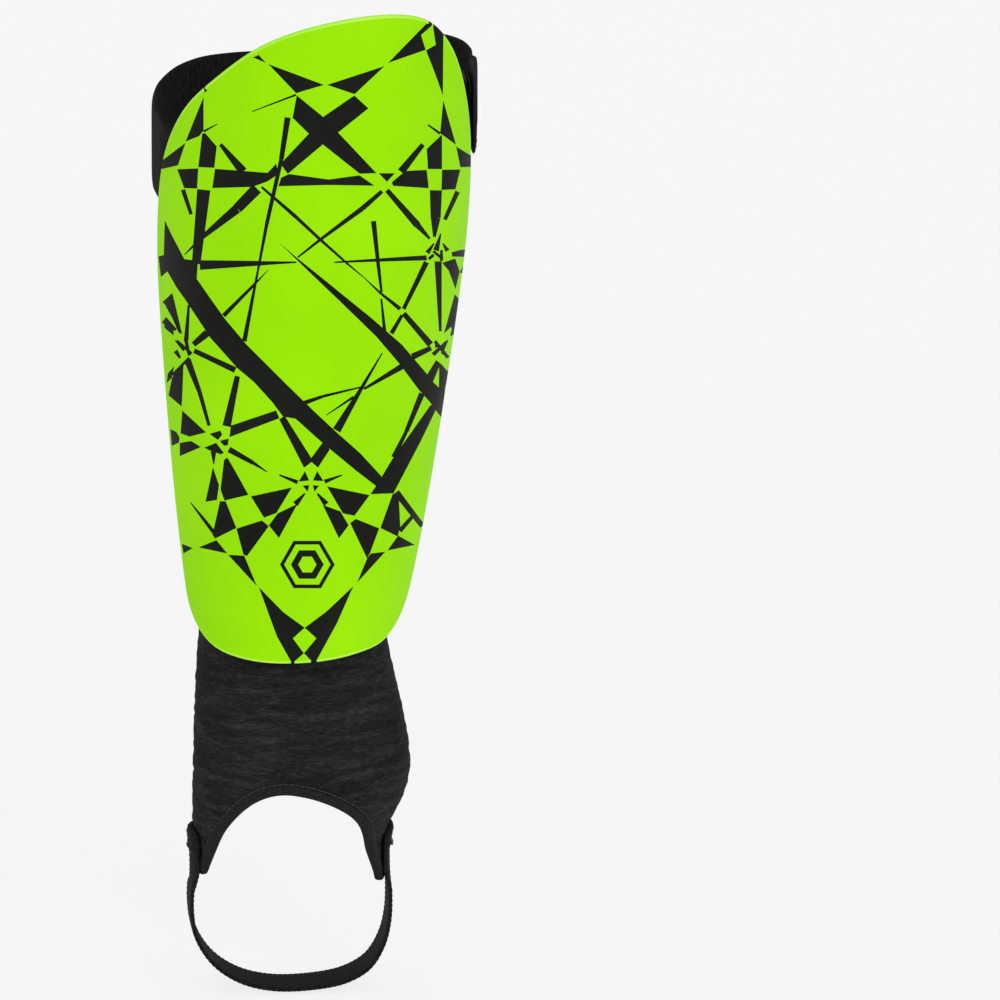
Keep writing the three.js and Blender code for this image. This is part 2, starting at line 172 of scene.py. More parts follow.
def plastic(name, base, light, dark):
    """Satin moulded plastic: a faint cloudiness of colour and a fine orange-peel surface."""
    made = Shader(name, 0.5, specular=0.22, ior=1.22)
    made.colour(made.ramp(made.grain(22, 3), (0.3, dark), (0.52, base), (0.75, light)))
    made.roughness(made.grain(160, 3), 0.42, 0.58)
    made.bump(made.grain(900, 2), 0.012)
    return made.material


def cloth(name, base, light, dark, weave, stretch=(1, 1, 1), depth=0.12, roughness=0.9, sheen=0.0):
    """Dark fabric: a weave of the given scale in its colour and relief, with cloudy roughness, a cloudy relief
    below the weave, and sheen where it is given.
    """
    made = Shader(name, roughness, specular=0.4, ior=1.2, sheen=sheen)
    threads = made.grain(weave, 2, stretch)
    clouds = made.grain(28, 4)
    made.colour(made.ramp(threads, (0.3, dark), (0.5, base), (0.72, light)))
    made.roughness(clouds, roughness - 0.08, roughness + 0.08)
    lower = made.bump(clouds, depth)
    made.bump(threads, depth, lower)
    return made.material


def knit_cloth(name):
    """Fine rib knit with uneven level streaks, where the stretched fabric bunches."""
    made = Shader(name, 0.9, specular=0.4, ior=1.2)
    threads = made.grain(420, 2, (1, 1, 5))
    streaks = made.grain(70, 3, (1, 1, 6))
    both = made.node("Math", {0: threads, 1: streaks}, operation="ADD").outputs["Value"]
    half = made.node("Math", {0: both, 1: 0.5}, operation="MULTIPLY").outputs["Value"]
    grey = lambda value: linear(value, value + 1, value)
    made.colour(made.ramp(half, (0.34, grey(17)), (0.5, grey(31)), (0.66, grey(50))))
    made.roughness(streaks, 0.84, 0.96)
    lower = made.bump(streaks, 0.5)
    made.bump(threads, 0.16, lower)
    return made.material


def make_materials():
    grey = lambda value: linear(value, value, value - 1)
    return {
        "lime": plastic("lime_plastic", linear(152, 229, 0), linear(158, 234, 5), linear(147, 224, 0)),
        # A lighter lime for the shell's rounded rim: a painted highlight along the edge.
        "lime_rim_highlight": plastic("lime_rim_highlight", linear(180, 246, 78), linear(192, 249, 102), linear(166, 240, 54)),
        "print": plastic("black_print", linear(24, 26, 23), linear(30, 31, 29), linear(19, 21, 18)),
        "foam": cloth("black_foam", grey(20), grey(28), grey(14), 1500, depth=0.08),
        "lining": cloth("black_lining", grey(27), grey(38), grey(17), 900, (1, 1, 1.6), 0.14),
        "elastic": cloth("black_elastic", grey(24), grey(34), grey(15), 1100, (1, 1, 0.35), 0.12, 0.8),
        "knit": knit_cloth("black_knit"),
        "tape": cloth("black_tape", grey(31), grey(42), grey(21), 1300, (1, 1, 2), 0.1, 0.8),
        "hooks": cloth("black_hooks", grey(14), grey(24), grey(8), 1600, depth=0.1, roughness=0.6),
        "pile": cloth("black_pile", grey(26), grey(40), grey(16), 1400, depth=0.2, sheen=0.1),
        "thread": cloth("black_thread", grey(56), grey(70), grey(42), 2500, depth=0.04, roughness=0.7),
    }


# ---- meshes ----


def new_piece(name, points, faces, materials, face_materials=None):
    """A smooth-shaded object from points in millimetres."""
    mesh = bpy.data.meshes.new(name)
    mesh.from_pydata([tuple(value * MM for value in point) for point in points], [], faces)
    for material in materials:
        mesh.materials.append(material)
    if face_materials is not None:
        mesh.polygons.foreach_set("material_index", face_materials)
    mesh.polygons.foreach_set("use_smooth", [True] * len(mesh.polygons))
    piece = bpy.data.objects.new(name, mesh)
    bpy.context.scene.collection.objects.link(piece)
    return piece


def face_outwards(faces, points):
    """The faces, all turned round if together they enclose a negative volume."""
    volume = 0.0
    for face in faces:
        first = points[face[0]]
        for second, third in zip(face[1:], face[2:]):
            volume += first.dot(points[second].cross(points[third]))
    return faces if volume > 0 else [tuple(reversed(face)) for face in faces]


def swept(name, sections, material, ring=False, centres=None):
    """The solid through a row of closed sections, each a list of the same number of points.
    centres gives the middles of the two end faces."""
    around = len(sections[0])
    points = [point for section in sections for point in section]
    rows = len(sections)
    faces = []
    for row in range(rows if ring else rows - 1):
        here = row * around
        there = (row + 1) % rows * around
        for k in range(around):
            after = (k + 1) % around
            faces.append((here + k, here + after, there + after, there + k))
    if not ring:
        centres = centres or [sum(sections[row], Vector()) / around for row in (0, -1)]
        for row, order, centre in ((0, 1, centres[0]), (rows - 1, -1, centres[1])):
            points.append(centre)
            corners = [row * around + k for k in range(around)][::order]
            for a, b in zip(corners, corners[1:] + corners[:1]):
                faces.append((b, a, len(points) - 1))
    return new_piece(name, points, face_outwards(faces, points), [material])


def distances_along(line):
    """How far along the line each of its points is."""
    reached = [0.0]
    for a, b in zip(line, line[1:]):
        reached.append(reached[-1] + (b - a).length)
    return reached


def length_of(line):
    return distances_along(line)[-1]


def hermite(a, b, start, end, t):
    """The cubic from a to b that leaves with one slope and arrives with the other."""
    rise = t * t * (3 - 2 * t)
    return a * (1 - rise) + b * rise + start * t * (1 - t) ** 2 - end * t * t * (1 - t)


def smooth_curve(points, count, closed=False):
    """Evenly spaced points on a centripetal Catmull-Rom curve through the given ones."""
    dense = []
    total = len(points)
    pieces = total if closed else total - 1
    per_piece = 24
    for k in range(pieces):
        p1, p2 = points[k], points[(k + 1) % total]
        p0 = points[k - 1] if closed or k else 2 * p1 - p2
        p3 = points[(k + 2) % total] if closed or k + 2 < total else 2 * p2 - p1
        d0, d1, d2 = ((b - a).length ** 0.5 for a, b in ((p0, p1), (p1, p2), (p2, p3)))
        start = ((p1 - p0) / d0 - (p2 - p0) / (d0 + d1) + (p2 - p1) / d1) * d1
        end = ((p2 - p1) / d1 - (p3 - p1) / (d1 + d2) + (p3 - p2) / d2) * d1
        dense += [hermite(p1, p2, start, end, step / per_piece) for step in range(per_piece)]
    dense.append(points[0] if closed else points[-1])
    reached = distances_along(dense)
    found = []
    steps = count if closed else count - 1
    at = 0
    for k in range(count):
        distance = reached[-1] * k / steps
        while at < len(reached) - 2 and reached[at + 1] < distance:
            at += 1
        share = (distance - reached[at]) / (reached[at + 1] - reached[at])
        found.append(dense[at].lerp(dense[at + 1], share))
    return found


def directions(line, closed=False):
    """The unit tangent at each point of a line."""
    last = len(line) - 1
    found = []
    for k in range(len(line)):
        before = line[k - 1] if closed or k else line[0]
        after = line[(k + 1) % len(line)] if closed or k < last else line[last]
        found.append((after - before).normalized())
    return found


# ---- the pad's shape ----

SHELL_AXIS_Y = 4.7
SHELL_THICKNESS = 2
SHELL_RIM = 1
FOAM_DEPTH = 2.3
FOAM_THICKNESS = 4
LINING_DEPTH = 6.6
LINING_THICKNESS = 0.8
PAD_DEPTH = LINING_DEPTH + LINING_THICKNESS
FOAM_INSET = 2
LINING_INSET = 2.4

SHELL_OUTLINE = [
    (0, 0), (30, 1.6), (50, 4.4), (64.5, 14), (69.5, 31), (73, 95), (76, 140), (70, 168),
    (59.5, 192), (48, 209.5), (36, 219.5), (20, 223.3), (-2, 221.4), (-22, 214.3),
    (-42, 200), (-58, 185.5), (-71, 165), (-77, 136), (-75, 95), (-71, 32), (-67, 13.5),
    (-52, 3.8), (-30, 0.4),
]


def shell_radius(z):
    return 36.9 + 0.162 * z - 0.00035 * z * z


def shell_axis_x(z):
    return -5.9 + 0.04 * z


def pad_point(arc, z, depth):
    """A point of the pad from its flat plan: arc is along the face from the middle of the shin."""
    angle = arc / shell_radius(z)
    radius = shell_radius(z) - depth
    x = shell_axis_x(z) + radius * math.sin(angle)
    return Vector((x, SHELL_AXIS_Y - radius * math.cos(angle), z))


def pad_point_at(angle_deg, z, depth):
    return pad_point(math.radians(angle_deg) * shell_radius(z), z, depth)


def face_direction(arc, z):
    """The direction out of the shell's face."""
    along = pad_point(arc + 0.5, z, 0) - pad_point(arc - 0.5, z, 0)
    upwards = pad_point(arc, z + 0.5, 0) - pad_point(arc, z - 0.5, 0)
    return along.cross(upwards).normalized()


def pad_outline(inset, spacing):
    """The outline in the flat plan, drawn in by the inset, with points about the spacing apart."""
    corners = [Vector((math.radians(angle) * shell_radius(z), z, 0)) for angle, z in SHELL_OUTLINE]
    around = round(length_of(corners + corners[:1]) / spacing)
    line = smooth_curve(corners, around, closed=True)
    return [
        (point.x - tangent.y * inset, point.y + tangent.x * inset)
        for point, tangent in zip(line, directions(line, closed=True))
    ]


def inside(points, polygon):
    """Which of the points lie in the polygon, as an array of truths."""
    x, y = np.asarray(points, float).T
    found = np.zeros(len(x), bool)
    corners = np.asarray(polygon, float)
    for (x1, y1), (x2, y2) in zip(corners, np.roll(corners, -1, axis=0)):
        if y1 != y2:
            crosses = (y1 > y) != (y2 > y)
            found ^= crosses & (x < (x2 - x1) * (y - y1) / (y2 - y1) + x1)
    return found


def cut_sheet(inset, spacing, lines=()):
    """Triangles that fill the outline in the flat plan, with edges along every line, and the
    loop of points round them. A line is (points, closed)."""
    rim = pad_outline(inset, spacing)
    points = list(rim)
    edges = [(k, (k + 1) % len(rim)) for k in range(len(rim))]
    for line, closed in lines:
        first = len(points)
        points += line
        edges += [(first + k, first + k + 1) for k in range(len(line) - 1)]
        if closed:
            edges.append((len(points) - 1, first))
    low, high = np.min(rim, axis=0), np.max(rim, axis=0)
    row_step = spacing * math.sqrt(0.75)
    lattice = [
        (low[0] + spacing * (column + 0.5 * (row % 2)), low[1] + row_step * row)
        for row in range(int((high[1] - low[1]) / row_step) + 1)
        for column in range(int((high[0] - low[0]) / spacing) + 1)
    ]
    fixed = np.array(points)
    clear = [
        point for point, kept in zip(lattice, inside(lattice, rim))
        if kept and np.min(np.hypot(*(fixed - point).T)) > 0.45 * spacing
    ]
    corners = [Vector(point) for point in points + clear]
    flat, _, faces, *_ = delaunay_2d_cdt(corners, edges, [], 0, 1e-4)
    flat = np.array([tuple(point) for point in flat])
    faces = np.array(faces)
    faces = faces[inside(flat[faces].mean(axis=1), rim)]
    used, numbers = np.unique(faces, return_inverse=True)
    flat, faces = flat[used], numbers.reshape(-1, 3)
    sides = [edge for a, b, c in faces.tolist() for edge in ((a, b), (b, c), (c, a))]
    shared = set(sides)
    after = dict(edge for edge in sides if edge[::-1] not in shared)
    loop = [next(iter(after))]
    while after[loop[-1]] != loop[0]:
        loop.append(after[loop[-1]])
    return flat, faces, loop


def pad_layer(name, sheet, depth, thickness, rim, materials, printed=None, inner_depth=None):
    """A layer of the pad with a rounded rim. printed says which outer faces wear the second
    material, the rim wears the last one, and inner_depth gives the depth of an uneven inner face."""
    flat, faces, loop = sheet
    count = len(flat)
    outer = [pad_point(arc, z, depth) for arc, z in flat]
    normals = [face_direction(arc, z) for arc, z in flat]
    inner_depths = [depth + thickness] * count if inner_depth is None else inner_depth
    inner = [pad_point(arc, z, d) for (arc, z), d in zip(flat, inner_depths)]
    points = outer + inner
    normals += [-normal for normal in normals]
    first_faces = faces.tolist()
    made = first_faces + [[count + c, count + b, count + a] for a, b, c in first_faces]
    marks = list(printed) if printed is not None else [0] * len(first_faces)
    edge_mark = {}
    for (a, b, c), mark in zip(first_faces, marks):
        for edge in ((a, b), (b, c), (c, a)):
            edge_mark[edge] = mark
    marks += [0] * len(first_faces)
    rim_mark = len(materials) - 1
    line = [Vector((*flat[k], 0)) for k in loop]
    tangents = directions(line, closed=True)
    steps = 8
    rings = [loop]
    for step in range(1, steps):
        turn = math.pi * step / steps
        ring = []
        for k, point, tangent in zip(loop, line, tangents):
            arc = point.x + tangent.y * rim * math.sin(turn)
            z = point.y - tangent.x * rim * math.sin(turn)
            ring.append(len(points))
            sunk = (inner_depths[k] - depth) * (1 - math.cos(turn)) / 2
            points.append(pad_point(arc, z, depth + sunk))
            outwards = (pad_point(arc + tangent.y, z - tangent.x, 0) - pad_point(arc, z, 0)).normalized()
            normals.append(face_direction(arc, z) * math.cos(turn) + outwards * math.sin(turn))
        rings.append(ring)
    rings.append([count + k for k in loop])
    for ring, lower in zip(rings, rings[1:]):
        for k in range(len(loop)):
            after = (k + 1) % len(loop)
            made.append([ring[k], lower[k], lower[after], ring[after]])
            marks.append(edge_mark[loop[k], loop[after]] or rim_mark)
    piece = new_piece(name, points, made, materials, marks)
    if inner_depth is None:
        piece.data.normals_split_custom_set_from_vertices([tuple(n.normalized()) for n in normals])
    return piece


# ---- the printed pattern ----
# The artwork is drawn on an upright sheet in front of the shell, in millimetres to the right of
# the middle and above the lower edge, and is projected on to the shell along the camera's line.

ARTWORK_BASE = -9.1

# Tapered bars: from x, y to x, y, and the width at each end.
BARS = [
    # upper left
    (-19, 181.6, -4.6, 187, 0.3, 0.7), (-35, 175.2, -30.5, 177.6, 0.8, 0.3), (-7.4, 179.6, -9.5, 166, 2,
    1.6), (-9.5, 166, -14.3, 145, 1.4, 1.3), (-14.3, 145, -17.2, 130, 1.2, 0.8), (-17.2, 130, -21.8,
    106.6, 0.7, 1.6), (-29.5, 171, -22, 162, 1.2, 3), (-41.9, 156.3, -39.2, 148.2, 1.5, 1.2), (-17.5,
    156.5, -24, 150, 3.8, 3.4), (-24, 150, -35.4, 140.8, 3.2, 1.5), (-35.4, 140.8, -41.5, 135, 1.4,
    0.3), (-35, 156.2, -37.6, 132, 4.4, 2.9), (-16, 157, -5, 147.4, 0.8, 1.3), (-5, 147.4, 3.2, 139.8,
    1.2, 1), (3.2, 139.8, 12, 132, 1, 0.7), (12, 132, 17.5, 127.4, 0.7, 0.3), (17.5, 127.4, 22.8, 122.4,
    0.3, 0.8), (22.8, 122.4, 29.3, 117.2, 0.8, 1.4), (30.4, 115.8, 39.2, 105.6, 1.7, 2.2), (23.4, 155.6,
    17, 150, 1.3, 1.7), (17, 150, 3.2, 139.8, 1.7, 1), (3.2, 139.8, -4.2, 134, 1, 0.6),
    # upper right
    (38.4, 177.4, 42.4, 174.6, 0.5, 0.9), (36.8, 171, 29.6, 162, 1.5, 2.6), (48.1, 155.8, 43.9, 146.5,
    1.6, 1.3), (25, 156, 35, 144.6, 1.6, 2.4), (35, 144.6, 39, 140.2, 2, 0.8), (41, 156.1, 40.9, 147, 4,
    3.3), (40.9, 147, 40.5, 140.8, 3.2, 0.9), (20.6, 145.9, 22.2, 131, 1.7, 1.2), (22.2, 131, 23.2,
    122.6, 1.2, 0.8), (23.1, 120.6, 24.2, 109.8, 0.6, 1.2), (7.8, 132.4, 38, 134, 0.5, 1.7), (37.9,
    132.6, 30.4, 117.2, 1.8, 1.3), (29.9, 115.2, 26.4, 109.2, 1.1, 1.5), (41.7, 132.9, 42.4, 110, 2.4,
    0.9), (42.6, 142, 41, 136.4, 0.4, 2), (38.2, 135.6, 40.4, 138.8, 1.6, 0.4), (43.2, 138.8, 44.8,
    136.4, 0.4, 1.6), (46.2, 135.2, 51.6, 136, 1.4, 3), (33.2, 101.6, 39.4, 104.5, 2.2, 1.6), (40.9,
    106.7, 41.6, 104.8, 0.6, 2), (44.9, 107.2, 42.6, 103.8, 0.4, 2), (44.7, 101.4, 43, 103.4, 0.4, 1.4),
    (38.6, 133.6, 40.3, 135, 1, 1), (40.1, 136.2, 43.2, 133.7, 0.9, 1), (42.8, 136.6, 42.8, 133, 0.9,
    1.1), (40.6, 106.8, 44.9, 101.4, 1.1, 1.2), (44.4, 106.6, 40, 102.3, 0.9, 1.4), (46.6, 110.6, 45.9,
    108.6, 1, 0.6),
    # middle left
    (-44.1, 106.9, -39.2, 102.6, 0.9, 1), (-41.1, 107.2, -40, 102, 1.3, 1), (-40, 101.3, -45.6, 95.6,
    0.9, 1.1), (-36.4, 131.6, -16, 132.1, 3.2, 1.5), (-16, 132.1, -4.6, 132.4, 1.4, 0.5), (-28.6, 115,
    -18, 125.6, 1.5, 0.9), (-18, 125.6, -14, 129.8, 0.7, 0.2), (-40.1, 118.6, -41, 107, 0.8, 1.6), (-34,
    109.4, -38.6, 105.6, 2.6, 1.8), (-38.4, 103.6, -24.8, 97.2, 1.6, 2), (-40.6, 100.6, -36.6, 90, 2.4,
    1.5), (-36.6, 90, -33.5, 79, 1.5, 1.1), (-44.6, 107, -41.4, 104, 0.5, 1.8), (-44.6, 103.6, -43,
    101.2, 1.6, 0.8), (-24.1, 95.2, -27.7, 78.8, 1.8, 2.8), (-48.4, 113.8, -44.4, 110.4, 2.4, 0.9),
    (-47, 118.6, -42.8, 110, 1.8, 0.6),
    # middle right
    (29.8, 98.4, 17.4, 91, 2, 0.8), (16.4, 91.6, 4, 88.6, 0.5, 1), (4, 88.6, -2.2, 86.4, 1, 1.5), (23.4,
    102.8, 16.2, 90.6, 0.4, 1.3), (16.2, 90.6, 8.4, 77.4, 1.3, 2.8), (14, 88.4, 5, 82.4, 0.9, 0.3),
    (36.4, 89.6, 31.2, 77, 2, 1.4), (31.2, 77, 27, 68.6, 1.2, 1.6),
    # lower left
    (-32.1, 70.6, -32, 66.4, 1.9, 0.4), (-27, 71.2, -19, 66.8, 2, 1.4), (-19, 66.8, -14.4, 63.8, 1.2,
    0.3), (-10.4, 62.8, -4.4, 60.4, 0.5, 1.4), (-39.8, 53.8, -36, 49, 0.3, 1), (-36, 49, -31.8, 43.6, 1,
    1.4), (-5.2, 53.2, -2, 56.8, 2, 0.5),
    # lower right
    (10.2, 62.8, 4.4, 60.6, 0.4, 1.4), (27.9, 57.2, 36.4, 46, 2.2, 1.7), (33.4, 49.4, 29, 44.4, 1.2,
    1.6), (5, 53.2, 2, 56.8, 2, 0.5),
]

# Blocks: each a list of corners, as x, y, x, y and so on.
BLOCKS = [
    # top
    [-18.7, 199.2, -16.8, 200, -14.5, 197.4],
    [-13.7, 197, -4.6, 187.5, 4.5, 190.2],
    [5.5, 190.2, 24.3, 196.4, 14.5, 187.2],
    [25.4, 197.4, 38, 210.4, 40, 210, 36.2, 206.6, 37.7, 201.8, 36.6, 201.4],
    [40, 210, 43.5, 208, 43.3, 187, 40.8, 194, 37.8, 201.6, 41, 203.5],
    [-34.9, 189.4, -33.7, 188.6, -34.6, 187.8],
    # the cross
    [
        -4.4, 186.8, -5.8, 179.5, -0.5, 174.3, -9.8, 164.5, -7.4, 161.2, 4.1, 170.8,
        16.1, 161.3, 21.6, 161.5, 9.1, 174.7, 19, 182.6, 14.4, 186.8, 4.2, 179.8,
    ],
    # left shoulder
    [-35, 186.5, -35, 175.5, -36.5, 173.7, -41, 172],
    [-49, 165.8, -41, 171.6, -43.5, 164.3, -49.6, 163],
    [-35.5, 174.5, -34.5, 174.7, -30.7, 170.3, -31.5, 163.3, -36.8, 163.6],
    [-43.8, 163, -36.8, 163.2, -37.2, 156.6, -41.5, 156.8],
    [-31.3, 163, -14, 161.6, -11.2, 164.6, -10.4, 161.2, -14, 158.8, -19, 157, -32.2, 156.7],
    [-7, 161.2, 6, 159.4, 16, 160.8, 21, 157.4, 6, 157.6, -10.5, 157.2, -9.6, 160],
    # right shoulder
    [43.4, 185.5, 47.6, 171, 42.4, 174.7],
    [47.6, 170.5, 52.7, 167.5, 52.4, 164, 49, 163.8],
    [43, 174.3, 38, 169.5, 38.4, 162.6, 43, 162.8],
    [22.3, 161.5, 27.6, 161.5, 25, 158.7],
    [31, 162.3, 38, 162.7, 38.7, 156.7, 27, 157.4, 26.6, 158.6],
    [43, 162.8, 49, 163, 47.4, 156.5, 42.8, 156.2],
    # left flank
    [
        -48, 146.4, -45.5, 141.2, -41.5, 133.6, -37, 133, -37.4, 127.2, -44.4, 124.8,
        -47.2, 129.6, -49.4, 127.8, -50.2, 134.6, -48.4, 135,
    ],
    [-48.9, 119.6, -45.6, 122.6, -45, 120.4, -42.3, 109, -43.6, 109.6, -47, 117.6],
    [-48.2, 114.6, -45.2, 111.8, -45.2, 108.6, -48.3, 111.2],
    [-45, 98.6, -47.2, 96.2, -47.6, 93, -45.6, 95, -41.9, 99.4, -42.3, 90, -42.6, 85.3, -47, 89],
    [-46.4, 77.9, -44.4, 77, -43.3, 75, -43.6, 73.4, -46, 72.4],
    [-42.4, 84, -34.5, 76.8, -40, 75.4, -43, 76.5],
    [-43.3, 73.4, -39.5, 74, -36.2, 72, -43.3, 69],
    [-33.4, 76.3, -29.8, 77.4, -29.2, 76, -30.6, 74.3],
    [-35.2, 71.8, -31.2, 73.4, -28.6, 70, -29.7, 69.6, -33.4, 70.9],
    [-30, 74, -27, 74.8, -27.3, 72.6, -28.6, 72.4],
    [-26.3, 79, -11.4, 84, -10.3, 81.4, -26.8, 75.2],
    # the two long slashes
    [
        -47, 130, -37.6, 127.4, -33.5, 121.5, -28.1, 113.9, -21.1, 105.6, -8.3, 92.8, 2.2, 82.6,
        9.1, 76.2, 16.1, 70, 23, 62.5, 24, 57, 21, 59.4, 14.4, 64.5, 3.8, 73.3, -5, 81.2,
        -9.2, 82, -12.7, 86.7, -18.7, 93.3, -24.2, 97.9, -33, 107.8, -40.5, 119.2, -44.4, 124.7,
    ],
    [
        -10.3, 138.8, -4.6, 134, 5.1, 126.2, 12.6, 120.1, 19.2, 114.8, 29.8, 105.6, 38.1, 95.9,
        41, 100.6, 42.8, 99.2, 45.6, 96, 44, 92, 43, 81.2, 39, 86.7, 35.5, 90.6, 28.9, 99.4,
        21.4, 108.2, 8.2, 121, -0.1, 128.9,
    ],
    # right flank
    [43, 132.4, 47.3, 133.9, 48.8, 129.6, 47.4, 123.9, 45.1, 130],
    [50.9, 134, 50.6, 128.6, 48.8, 129.4],
    [47.1, 122.2, 48.9, 120, 47.9, 112, 46.7, 108.3, 45.9, 111.5, 43.6, 109.3],
    [39.3, 86, 41, 84.4, 36, 74, 28.6, 59.8, 27, 56.8, 19.5, 56.5, 22.4, 61, 26.6, 68],
    # lower left
    [-32.3, 65.4, -30.3, 59.5, -31, 54.6, -34.8, 54],
    [-28.6, 67.8, -27.5, 68.6, -24.5, 63.4, -20.6, 56.3, -28.5, 54.4, -29.8, 58],
    [-19.8, 55.8, -6.3, 58.7, -11.4, 50.3, -15.5, 48.8],
    [-11, 50.2, -4.4, 53.4, -10.6, 42.1, -13.9, 46.3],
    [-24.6, 45.2, -16.2, 47.9, -13.9, 46, -21.1, 36.2, -22.3, 36.6],
    [-30, 54.2, -28.1, 54.2, -24.6, 45.4, -31.7, 41.9, -32.5, 43.2],
    [-37.2, 39, -31.2, 41.4, -27.6, 37],
    [-42.8, 40.2, -39.1, 38.8, -42.2, 37],
    [-27.4, 36.6, -22, 36.3, -21.4, 34.8, -17.9, 26.3],
    # the small star
    [-10.4, 81, -8.6, 82.3, -7.2, 80, 0.1, 68.4, 0.2, 67, -2.3, 65.2],
    [3.9, 73.6, 6.2, 71.2, 2.3, 65.2, 0.2, 67, 0.1, 68.4],
    [-4.1, 60.6, -2, 64.1, -0.6, 61],
    [0.6, 61, 2, 64.1, 4.1, 60.8],
    [-2.8, 59.3, -0.6, 59.5, -1.1, 57.3],
    [0.6, 59.5, 2.6, 59.3, 1.1, 57.3],
    # lower right
    [5.2, 59.1, 19.2, 56.2, 14.2, 49.4, 10.4, 50.2],
    [3.8, 53, 9.6, 50.9, 12.3, 46.3, 9.1, 42],
    [12.8, 47, 14.6, 48.4, 22.3, 45.3, 19.3, 37.2, 18.3, 35.4],
    [26.8, 56.8, 28.8, 54.8, 29.2, 46, 28.4, 42.6, 22.7, 45.4],
    [25, 38, 28.5, 42.9, 34, 39.8],
    [18.4, 35.6, 19.5, 37, 24.3, 37.6, 15, 27.4],
    # the V at the foot
    [-17.3, 26, -11.4, 9.8, -6.4, 0.8, -2.5, 4.2, -6.1, 9.1, -2.2, 12.6, -9.2, 17.7],
    [13.8, 26.3, 8.4, 14.1, 1, 0.6, -2.5, 4.2, 1.6, 9.1, -2.2, 12.6, 5, 18],
]

# Parts of the blocks that stay green.
GAPS = [
    [40, 93.4, 42, 98.2, 41.9, 91.6],
    [38.4, 163, 43, 163, 42.7, 156.2, 38.6, 156.4],
]

EMBLEM_CENTRE = (-1.3, 33.4)
EMBLEM_RADII = (9, 7.6, 5.4, 3)


def bar_corners(x0, y0, x1, y1, width0, width1):
    run = Vector((x1 - x0, y1 - y0)).normalized()
    across = Vector((-run.y, run.x)) / 2
    start, end = Vector((x0, y0)), Vector((x1, y1))
    return [start + across * width0, end + across * width1, end - across * width1, start - across * width0]


def hexagon(radius):
    return [
        (EMBLEM_CENTRE[0] + radius * math.cos(math.radians(60 * k)),
         EMBLEM_CENTRE[1] + radius * math.sin(math.radians(60 * k)))
        for k in range(6)
    ]


def on_shell(x, y):
    """Where a point of the artwork lands on the shell, in the flat plan."""
    start = view_right * x + view_up * (y + ARTWORK_BASE)
    slope = view_back.x ** 2 + view_back.y ** 2
    reach = 50.0
    for _ in range(16):
        z = start.z + view_back.z * reach
        dx, dy = start.x - shell_axis_x(z), start.y - SHELL_AXIS_Y
        half = dx * view_back.x + dy * view_back.y
        outside = dx * dx + dy * dy - shell_radius(z) ** 2
        reach = (math.sqrt(max(0, half * half - slope * outside)) - half) / slope
    return math.atan2(dx + view_back.x * reach, -dy - view_back.y * reach) * shell_radius(z), z


def printed_line(corners):
    """A closed line of the artwork on the flat plan, cut into short steps."""
    step_length = 2.5
    line = []
    for start, end in zip(corners, corners[1:] + corners[:1]):
        a, b = Vector(start), Vector(end)
        steps = max(1, round((b - a).length / step_length))
        line += [on_shell(*a.lerp(b, step / steps)) for step in range(steps)]
    return line


def make_shell(materials):
    paired = lambda numbers: list(zip(numbers[::2], numbers[1::2]))
    black = [printed_line(paired(block)) for block in BLOCKS]
    black += [printed_line(bar_corners(*bar)) for bar in BARS]
    green = [printed_line(paired(gap)) for gap in GAPS]
    emblem = [printed_line(hexagon(radius)) for radius in EMBLEM_RADII]
    sheet = cut_sheet(SHELL_RIM, 3.2, [(line, True) for line in black + green + emblem])
    flat, faces, _ = sheet
    middles = flat[faces].mean(axis=1)
    printed = np.zeros(len(faces), bool)
    for line in black:
        printed |= inside(middles, line)
    for line in green:
        printed &= ~inside(middles, line)
    for line in emblem:
        printed ^= inside(middles, line)
    # The rim faces take the lighter lime, a painted highlight along the edge.
    shell = pad_layer("printed_shell", sheet, 0, SHELL_THICKNESS, SHELL_RIM,
                      [materials["lime"], materials["print"], materials["lime_rim_highlight"]],
                      printed.astype(int).tolist())
    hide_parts("shell")
    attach(shell, "guard")


def make_foam(materials):
    rim = 1.6
    sheet = cut_sheet(FOAM_INSET + rim, 5)
    foam = pad_layer("foam_pad", sheet, FOAM_DEPTH, FOAM_THICKNESS, rim, [materials["foam"]])
    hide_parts("backing_foam")
    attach(foam, "guard")


# ---- sewing ----


def stitches(name, paths, material, body, length=2.6, pitch=3.6, radius=0.26):
    """Rows of thread stitches. A path is a list of (point, direction out of the cloth)."""
    points, faces = [], []
    sides = 6
    bend = ((0, 0.35, -0.3), (0.12, 0.85, 0.1), (0.5, 1, 0.3), (0.88, 0.85, 0.1), (1, 0.35, -0.3))
    for path in paths:
        line = [point for point, _ in path]
        reached = distances_along(line)
        for k in range(int(reached[-1] / pitch)):
            first = len(points)
            for share, girth, lift in bend:
                distance = k * pitch + 0.4 + share * length
                at = min(int(np.searchsorted(reached, distance, "right")) - 1, len(line) - 2)
                t = (distance - reached[at]) / (reached[at + 1] - reached[at])
                out = path[at][1].lerp(path[at + 1][1], t).normalized()
                run = (line[at + 1] - line[at]).normalized()
                side = run.cross(out).normalized()
                centre = line[at].lerp(line[at + 1], t) + out * lift * radius
                for turn in range(sides):
                    angle = 2 * math.pi * turn / sides
                    spoke = side * math.cos(angle) + out * math.sin(angle)
                    points.append(centre + spoke * radius * girth)
            rows = len(bend)
            for row in range(rows - 1):
                for turn in range(sides):
                    a = first + row * sides + turn
                    b = first + row * sides + (turn + 1) % sides
                    faces.append((a, b, b + sides, a + sides))
            faces.append(tuple(first + turn for turn in reversed(range(sides))))
            faces.append(tuple(first + (rows - 1) * sides + turn for turn in range(sides)))
    piece = new_piece(name, points, faces, [material])
    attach(piece, body)
    return piece


